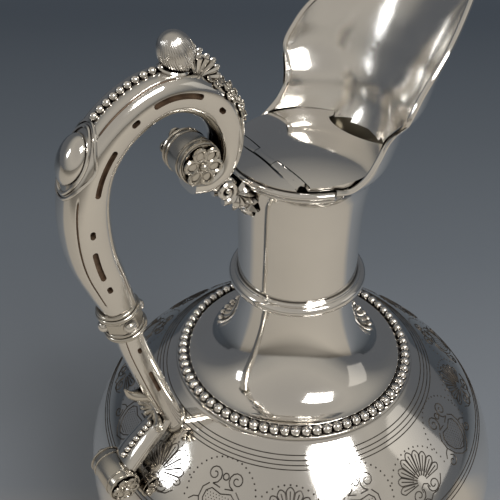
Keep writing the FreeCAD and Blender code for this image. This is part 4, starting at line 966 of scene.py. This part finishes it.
def make_thumb(arm):
    """The ball thumbpiece on its saddle, the leaf behind it and the flowers of the crest."""
    place, ahead, out, thick, wide = arm.at(KNOB_SHARE)
    lean = (out - ahead * KNOB_LEAN_SHARE).normalized()
    centre = place + out * (thick + KNOB_RISE) + ahead * KNOB_AHEAD
    ways = (ACROSS.cross(lean), ACROSS, lean)
    knob = ball(centre, ways, KNOB_HALVES, 32, 192, KNOB_RIPPLES, KNOB_RIPPLE_SHARE)
    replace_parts(piece("thumb_knob", [knob], "satin"), "thumb_ball")
    saddle = []
    for a in circle(48):
        lift = thick - SADDLE_SINK - SADDLE_SAG * sin(a) ** 2
        saddle.append(place + out * lift + ahead * (SADDLE_LENGTH * cos(a))
                      + ACROSS * (SADDLE_WIDTH * sin(a)))
    piece("thumb_saddle", [tube(saddle, SADDLE_RADIUS, 8, True)], "cast")
    place, ahead, out, thick, wide = arm.at(LEAF_SHARE)
    up = (out + ahead * LEAF_TILT_SHARE).normalized()
    fore = (ahead - out * LEAF_TILT_SHARE).normalized()
    leaf = []
    for sign in SIDES:
        root = place + out * (thick * LEAF_OUT_SHARE) - ahead * LEAF_BACK
        root += ACROSS * (sign * thick * LEAF_SIDE_SHARE)
        leaf += fan_shapes(root, up, fore, ACROSS * (sign * LEAF_CURL_SHARE), LEAF_LENGTH, 6, 115)
    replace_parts(piece("thumb_leaf", leaf, "cast"), "thumb_shell")
    shapes = []
    for step, (share, side) in enumerate(CREST_PLACES):
        place, ahead, out, thick, wide = arm.at(share)
        axis = out + ACROSS * (side * CREST_LEAN_SHARE)
        centre = place + out * skin_lift(side, thick, wide) + ACROSS * side
        shapes += flower_shapes(centre, axis, CREST_RADIUS, 5, step * CREST_TURN)
    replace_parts(piece("crest_flower_heads", shapes, "aged"), "crest_flowers")


def make_curl():
    """The inner drum with its rosettes, and the bracket with its leaf and scrolls."""
    centre = handle_spot(-0.525, 0.795)
    drum = drum_shapes(centre, CURL_RADIUS, CURL_HALF, CURL_RIDGES)
    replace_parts(piece("curl_drum", drum, "aged"), "volute_drum")
    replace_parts(piece("curl_rosettes", rosettes(centre, CURL_HALF, CURL_FLOWER), "aged"), "drum_rosettes")
    bracket = Limb(BRACKET_SHARES, BRACKET_SIZE, BRACKET_SIZE)
    bar = limb_shape(bracket, 30, 16, BRACKET_SQUARE)
    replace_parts(piece("bracket_bar", [bar], "cast"), "neck_bracket")
    root = lip_point(pi, BEAD_Z + HANDLE_RISE * BRACKET_ROOT_SHARE, 0.0)
    leaf = blades(root, -FORWARD, -UPWARD, BRACKET_BLADE, ((0, 1.0), (34, 0.95), (68, 0.95), (104, 0.9)))
    place, ahead, out, thick, wide = bracket.at(0.5)
    for sign in SIDES:
        line, radii = [], []
        for t in even_shares(36):
            a = radians(SCROLL_START_DEG + SCROLL_SWEEP_DEG * t)
            reach = SCROLL_REACH * (1 - 0.8 * t)
            line.append(Vector((SCROLL_X + reach * cos(a), sign * (SCROLL_SIDE + SCROLL_SPREAD * t),
                                SCROLL_Z + reach * sin(a))))
            radii.append(SCROLL_WIRE * (1 - 0.45 * t))
        leaf.append(tube(line, radii, 10))
        leaf.append(ball(line[-1], (FORWARD, ACROSS, UPWARD), [SCROLL_EYE] * 3, 8, 12))
        leaf += blades(place + ACROSS * (sign * wide * BRACKET_SIDE_SHARE), ACROSS * sign, -ahead,
                       BRACKET_SIDE_BLADE, ((0, 1.1), (26, 1.0), (55, 0.8), (90, 0.6)),
                       SIDE_BLADE_SHARE, SIDE_BLADE_SHARE)
    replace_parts(piece("bracket_shell", leaf, "cast"), "bracket_leaf")


def collar_rolls(start):
    """Outline of the two rolls at one end of the collar, without flats."""
    points = []
    for out, rise, wide, tall, steps in COLLAR_ROLLS:
        for t in even_shares(steps):
            a = pi * (t - 0.5)
            points.append((out + wide * cos(a), start + rise + tall * sin(a), False))
    return points


def make_collar():
    """The collar between arm and stem: rolls at both ends, an eight-sided band and four studs."""
    low, high = handle_spot(-0.862, 0.355), handle_spot(-0.897, 0.449)
    axis = (high - low).normalized()
    length = (high - low).length
    side = ACROSS.cross(axis)

    points = [(0.0, 0.0, False), (COLLAR_RADIUS, 0.0, False)]
    points += collar_rolls(COLLAR_LOW)
    points += [(COLLAR_RADIUS, BAND_LOW, True), (COLLAR_BAND, BAND_LOW_EDGE, True),
               (COLLAR_BAND, length - BAND_HIGH_EDGE, True), (COLLAR_RADIUS, length - BAND_HIGH, True)]
    points += collar_rolls(length - COLLAR_HIGH)
    points += [(COLLAR_RADIUS, length, False), (0.0, length, False)]
    verts = []
    for turn in circle(COLLAR_TURNS):
        flat = COLLAR_FLAT_SHARE / cos((turn + pi / 8) % (pi / 4) - pi / 8)
        way = side * cos(turn) + ACROSS * sin(turn)
        verts += [low + axis * z + way * (r * (flat if eight else 1.0)) for r, z, eight in points]
    faces = skin(COLLAR_TURNS, len(points), loop=True, ring=False)
    collar = piece("handle_collar_rings", [(verts, faces)], "aged", sharp_deg=COLLAR_SHARP_DEG)
    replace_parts(collar, "handle_collar")
    shapes = []
    for turn in circle(STUD_COUNT):
        way = side * cos(turn) + ACROSS * sin(turn)
        other = axis.cross(way)
        middle = low + axis * (length / 2) + way * STUD_REACH
        shapes.append(ball(middle, (other, axis, way), STUD_HALVES, 12, 18))
        ring = hoop(middle - way * STUD_RING_DROP, other * STUD_RING, axis * STUD_RING, 24)
        shapes.append(tube(ring, STUD_RING_WIRE, 8, True))
    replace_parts(piece("collar_ball_studs", shapes, "cast"), "collar_studs")


def make_stem_foot(stem):
    """The tail's barrel with its rosettes, and the shell, tendril and leaf pad at the stem's foot."""
    centre = handle_spot(-0.997, -0.175)
    drum = drum_shapes(centre, TAIL_DRUM_RADIUS, TAIL_DRUM_HALF, TAIL_RIDGES)
    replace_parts(piece("tail_barrel", drum, "aged"), "stem_volute")
    flowers = rosettes(centre, TAIL_DRUM_HALF, TAIL_FLOWER)
    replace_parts(piece("tail_rosettes", flowers, "aged"), "volute_flowers")
    place, ahead, out, thick, wide = stem.at(SHELL_SHARE)
    root = place + out * (thick * SHELL_OUT_SHARE) + ahead * SHELL_AHEAD
    shell = fan_shapes(root, (out * SHELL_LIFT_SHARE - ahead).normalized(), ACROSS, out, SHELL_LENGTH, 9, 170)
    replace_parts(piece("stem_shell_fan", shell, "aged"), "stem_shell")
    line = [Vector((x, 0.0, z)) for x, z in along(TENDRIL_LINE, TENDRIL_STEPS)]
    radii = [TENDRIL_ROOT - TENDRIL_TAPER * t ** 1.3 for t in even_shares(TENDRIL_STEPS)]
    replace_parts(piece("stem_tendril_leaf", [tube(line, radii, 14)], "aged"), "stem_tendril")
    place = stem.at(0.0)[0]
    pad = blades(place - PAD_FACE * PAD_SINK - PAD_SLOPE * PAD_UP, PAD_FACE, PAD_SLOPE, PAD_BLADE,
                 ((0, 1.0), (40, 0.95), (82, 0.85), (125, 0.8), (180, 0.75)))
    ways = (PAD_SLOPE, ACROSS, PAD_FACE)
    pad.append(ball(place - PAD_FACE * PAD_BALL_SINK, ways, PAD_HALVES, 14, 24))
    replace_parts(piece("stem_leaf_pad", pad, "aged"), "stem_pad")


def make_handle():
    arm = Limb(ARM_SHARES, ARM_SIZE, ARM_SIZE)
    stem = Limb(STEM_SHARES, STEM_SIZE, STEM_SIZE)
    tail = Limb(TAIL_SHARES, TAIL_THICKNESS, TAIL_WIDTH)
    cuts = slot_cuts(arm, ARM_SLOTS, ARM_SLOT_RADIUS, ARM_SLOT_FLOOR, ARM_CUT_TOP)
    cuts += slot_cuts(arm, ARM_HOLES, ARM_HOLE_RADIUS, ARM_HOLE_FLOOR, ARM_CUT_TOP)
    bar = piece("handle_arm_bar", [limb_shape(arm, 240, 24, grooves=ARM_GROOVES)], "cast")
    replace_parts(carve(bar, cuts, "pit"), "handle_arm")
    cuts = slot_cuts(stem, STEM_SLOTS, STEM_SLOT_RADIUS, STEM_SLOT_FLOOR, STEM_CUT_TOP)
    bar = piece("handle_stem_bar", [limb_shape(stem, 80, 20, grooves=STEM_GROOVES)], "cast")
    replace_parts(carve(bar, cuts, "pit"), "handle_stem")
    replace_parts(piece("handle_tail_bar", [limb_shape(tail, 40, 20)], "cast"), "handle_tail")
    ridge_beads("arm_ridge_beads", "arm_beads", arm, 0.480, 0.612, 10, ARM_BEAD_RADIUS)
    ridge_beads("tail_ridge_beads", "stem_beads", tail, 0.18, 0.74, 7, TAIL_BEAD_RADIUS)
    groove_lines(arm, ARM_GROOVES, "arm_groove_lines")
    groove_lines(stem, STEM_GROOVES, "stem_groove_lines")
    make_boss(arm)
    make_thumb(arm)
    make_curl()
    make_collar()
    make_stem_foot(stem)


# Rim moulding and its scrolls

RIM_HALF_DEG, RIM_STEPS = 70, 120
# Distance out from the mouth, height over the rim and radius of each reed
RIM_REEDS = ((0.25, -0.25, 0.85), (-0.55, -1.9, 0.8), (0.05, -1.08, 0.3))
LOOP_START_DEG, LOOP_END_DEG, LOOP_REACH_DEG, LOOP_BACK_DEG = 56, 66, 5.0, 7
LOOP_TOP, LOOP_REED, LOOP_DROP, LOOP_OUT, LOOP_WIRE = -0.25, -1.9, 2.1, 0.3, 0.78


def round_mouth(turn, reach, z):
    """A point round the mouth, at a height over its rim."""
    return Vector((MOUTH_X + reach * cos(turn), reach * sin(turn), RIM_Z + z))


def make_rim():
    """Reeds round the back of the mouth, and a hairpin loop at each end of them."""
    half = radians(RIM_HALF_DEG)
    shapes = []
    for out, z, radius in RIM_REEDS:
        line = [round_mouth(pi + half * (2 * t - 1), MOUTH_RADIUS + out, z)
                for t in even_shares(RIM_STEPS)]
        shapes.append(tube(line, radius, 14))
    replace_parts(piece("rim_reeds", shapes, "sheet"), "rim_moulding")
    low = LOOP_REED - LOOP_DROP
    middle, tall = (LOOP_TOP + low) / 2, (LOOP_TOP - low) / 2
    line = [(LOOP_START_DEG + (LOOP_END_DEG - LOOP_START_DEG) * t, LOOP_REED - LOOP_DROP * ease(t))
            for t in even_shares(12)]
    for t in even_shares(12)[1:-1]:
        a = pi * (t - 0.5)
        line.append((LOOP_END_DEG + LOOP_REACH_DEG * cos(a), middle + tall * sin(a)))
    line += [(LOOP_END_DEG - LOOP_BACK_DEG * t, LOOP_TOP) for t in even_shares(8)]
    shapes = []
    for sign in SIDES:
        points = [round_mouth(pi + sign * radians(degrees),
                              smooth_rows(LIP_ROWS, RIM_Z + z)[1] + LOOP_OUT, z) for degrees, z in line]
        shapes.append(tube(points, LOOP_WIRE, 12))
    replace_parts(piece("rim_end_scrolls", shapes, "cast"), "rim_scrolls")


# Flush hinge of the lid

HINGE_X, HINGE_Z = -12.1, 234.9
KNUCKLE_RADIUS, LID_KNUCKLE_HALF, KNUCKLE_GAP, HINGE_END = 1.7, 3.9, 0.2, 15.2
LID_REACH, LID_BASE, LID_DOME = 20.95, 234.9, 3.0
CAP_BACK, CAP_FRONT, CAP_THICKNESS, CAP_GAP = -1.4, 1.9, 0.35, 0.1


def lid_top(x, y):
    """Height of the lid's domed top at a place."""
    return LID_BASE + LID_DOME * (1 - ((x - MOUTH_X) ** 2 + y * y) / LID_REACH ** 2)


def barrel_shape(low, high):
    """A hinge barrel between two places along the hinge, filed flush with the lid's top."""
    verts = []
    for t in even_shares(24):
        y = low + (high - low) * t
        for turn in circle(40):
            x = HINGE_X + KNUCKLE_RADIUS * cos(turn)
            z = HINGE_Z + KNUCKLE_RADIUS * sin(turn)
            verts.append(Vector((x, y, min(z, lid_top(x, y)))))
    return verts, skin(25, 40, caps=True)


def cap_shape():
    """A plate over the lid's knuckle, level with the lid's top."""
    half = LID_KNUCKLE_HALF - CAP_GAP
    wide = even_shares(8)
    verts = []
    for t in even_shares(20):
        y = half * (2 * t - 1)
        for drop, way in ((0.0, wide), (CAP_THICKNESS, wide[::-1])):
            for k in way:
                x = HINGE_X + CAP_BACK + (CAP_FRONT - CAP_BACK) * k
                verts.append(Vector((x, y, lid_top(x, y) - drop)))
    return verts, skin(21, 2 * len(wide), caps=True)


def make_hinge():
    """Fixed barrels at both ends, and the lid's barrel with its cap between them."""
    start = LID_KNUCKLE_HALF + KNUCKLE_GAP
    fixed = [barrel_shape(start, HINGE_END), barrel_shape(-HINGE_END, -start)]
    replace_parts(piece("hinge_fixed_barrels", fixed, "sheet"), "leaf_knuckles")
    moving = [barrel_shape(-LID_KNUCKLE_HALF, LID_KNUCKLE_HALF), cap_shape()]
    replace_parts(piece("hinge_lid_barrel", moving, "sheet", "lid"), "lid_knuckle")


# Engraving on the shoulder

MOTIF_PAIRS, MOTIF_SCALE, FIRST_MOTIF = 8, 1.3, radians(-126.6)
BAND, FAN_DROP = 20.0, 3.0
LINE_WIDTH, CIRCLE_WIDTH_SHARE = 0.18, 0.85
CIRCLE_DROPS = (4.2, 5.7, 7.1, 8.4, 31.5, 32.8, 34.1)
FAN_LOBES, FAN_STEP_DEG, FAN_HALF_DEG = 5, 21, 8.5
FAN_ROOT, FAN_RIB, FAN_REACH, FAN_SHRINK, FAN_TIP = 1.4, 2.4, 6.6, 0.25, 0.9
FAN_BASE = (((0.0, 0.6), (1.0, 1.2), (1.2, 2.2)),
            ((0.0, 4.8), (1.0, 3.9), (2.5, 4.1), (4.3, 3.2), (5.6, 1.6)))
# Middle across and down, radius, start and sweep in degrees, and the share of the radius at its end
FAN_SPIRAL = (2.5, 2.2, 1.9, 200, -520, 0.2)
SHIELD_SPIRALS = ((3.0, -4.4, 2.2, 100, 560, 0.18), (5.6, 4.8, 1.5, 250, -430, 0.2),
                  (0.0, -4.6, 0.75, 90, -360, 1.0))
SHIELD_LINES = (((0.6, -1.9), (1.6, -2.1), (2.6, -2.2)),
                ((0.0, 7.2), (1.7, 6.4), (3.6, 4.4), (4.7, 1.8), (4.6, -0.6), (3.4, -2.0)),
                ((0.0, 5.9), (1.4, 5.2), (2.9, 3.6), (3.7, 1.6), (3.5, -0.2), (2.4, -1.2), (0.0, -0.6)),
                ((4.7, 1.8), (5.8, 2.2), (6.7, 3.3)))
DOT_RADIUS, DOT_DEPTH_SHARE, DOT_FILL_SHARE, DOT_STEP = 0.31, 0.35, 0.6, 0.2
DOT_ARC_COUNT, DOT_ARC_DEG, DOT_ARC_SHARE = 19, 10.5, 0.92
FAN_ARC, SHIELD_ARC, SHIELD_ARC_RISE = 11.3, 10.4, 2.0
FILL_ROWS, FILL_TOP, FILL_PITCH, FILL_HALF, FILL_SHIFT = 9, -0.2, 0.82, 3.9, 0.18


def shoulder_rows():
    """Distance down the shoulder from the disc, with radius and height."""
    steps = 60
    points = profile(SHOULDER + [(0.0, DISC_Z), (0.0, GIRTH_Z)], steps)[:2 * steps + 1]
    rows, gone = [], 0.0
    for index, (r, z) in enumerate(reversed(points)):
        if index:
            gone += dist((r, z), rows[-1][1:])
        rows.append((gone, r, z))
    return rows


def chased_line(rows, points, width):
    """A line in the shoulder: points are a turn and a distance down the shoulder."""
    line = []
    for turn, down in points:
        r, z = smooth_rows(rows, down)
        line.append(Vector((r * cos(turn), r * sin(turn), z)))
    return tube(line, width, 5)


def motif(rows, middle, down, strokes):
    """Strokes of places across and down from a middle, drawn on both sides of it."""
    radius = smooth_rows(rows, down)[0] / MOTIF_SCALE
    shapes = []
    for stroke in strokes:
        for sign in SIDES:
            points = [(middle + sign * x / radius, down + y * MOTIF_SCALE) for x, y in stroke]
            shapes.append(chased_line(rows, points, LINE_WIDTH))
    return shapes


def polar(reach, turn):
    return (reach * cos(turn), reach * sin(turn))


def spiral(x, y, radius, start_deg, sweep_deg, end_share):
    """A stroke that winds in from a radius to a share of it."""
    line = []
    for t in even_shares(18):
        side, down = polar(radius * (1 - (1 - end_share) * t), radians(start_deg + sweep_deg * t))
        line.append((x + side, y + down))
    return line


def fan_strokes():
    """Half of a shell fan: lobes with round tips, over a base of two scrolls."""
    strokes = []
    side = radians(FAN_HALF_DEG)
    for lobe in range(FAN_LOBES):
        turn = radians(FAN_STEP_DEG * lobe - 90)
        reach = FAN_REACH - FAN_SHRINK * lobe
        tip = [polar(reach + FAN_TIP * sin(pi * t), turn + side * 1.1 * (2 * t - 1))
               for t in even_shares(8)]
        strokes.append([polar(FAN_ROOT, turn - side)] + tip + [polar(FAN_ROOT, turn + side)])
        strokes.append([polar(FAN_RIB, turn), polar(reach, turn)])
    return strokes + [spiral(*FAN_SPIRAL), *FAN_BASE]


def shield_strokes():
    """Half of a shield cartouche under two outward scrolls."""
    return [spiral(*row) for row in SHIELD_SPIRALS] + list(SHIELD_LINES)


def punched_dot(rows, middle, down, x, y, size):
    """A shallow dot across and down from a middle."""
    turn = middle + x / smooth_rows(rows, down)[0]
    r, z = smooth_rows(rows, down + y)
    low = smooth_rows(rows, down + y + DOT_STEP)
    out = Vector((cos(turn), sin(turn), 0.0))
    side = Vector((-out.y, out.x, 0.0))
    slope = (out * (low[0] - r) + UPWARD * (low[1] - z)).normalized()
    ways = (side, slope, side.cross(slope))
    return ball(out * r + UPWARD * z, ways, (size, size, size * DOT_DEPTH_SHARE), 4, 8)


def make_engraving():
    """Chased circles, fans and shields round the shoulder, with punched dots round and in them."""
    rows = shoulder_rows()
    fans = [FIRST_MOTIF + turn for turn in circle(MOTIF_PAIRS)]
    half_step = pi / MOTIF_PAIRS
    shapes = [chased_line(rows, [(TAU * t, down) for t in even_shares(240)], LINE_WIDTH * CIRCLE_WIDTH_SHARE)
              for down in CIRCLE_DROPS]
    for turn in fans:
        shapes += motif(rows, turn, BAND + FAN_DROP, fan_strokes())
        shapes += motif(rows, turn + half_step, BAND, shield_strokes())
    piece("shoulder_engraving", shapes, "line")
    shapes = []
    for turn in fans:
        shield = turn + half_step
        for middle, down, reach in ((turn, BAND + FAN_DROP, FAN_ARC),
                                    (shield, BAND - SHIELD_ARC_RISE, SHIELD_ARC)):
            for k in range(DOT_ARC_COUNT):
                x, y = polar(reach, radians(DOT_ARC_DEG * (k - DOT_ARC_COUNT // 2) - 90))
                shapes.append(punched_dot(rows, middle, down, x, y * DOT_ARC_SHARE, DOT_RADIUS))
        for row in range(FILL_ROWS):
            wide = FILL_HALF * cos(pi / 2 * max(0.0, row - 2) / 7.5)
            shift = FILL_SHIFT if row % 2 else -FILL_SHIFT
            for t in even_shares(8):
                shapes.append(punched_dot(rows, shield, BAND, wide * (2 * t - 1) + shift,
                                          FILL_TOP + FILL_PITCH * row, DOT_RADIUS * DOT_FILL_SHARE))
    piece("shoulder_punched_dots", shapes, "line")


make_camera()
paint = make_materials()
make_stage()
make_light()
make_turned()
bead_circle("shoulder_bead_border", "shoulder_beads", SHOULDER_BEAD_RING, BEAD_Z - BEAD_SINK)
bead_circle("foot_bead_border", "foot_beads", FOOT_BEAD_RING, FOOT_BEAD_Z)
make_lip()
make_rim()
make_hinge()
make_handle()
make_engraving()

for part in frame["record"]["subparts"]:
    node = frame["nodes"][part["node"]]
    node.data.materials.clear()
    node.data.materials.append(paint[SLOT_PAINT[part["material_slot"]]])
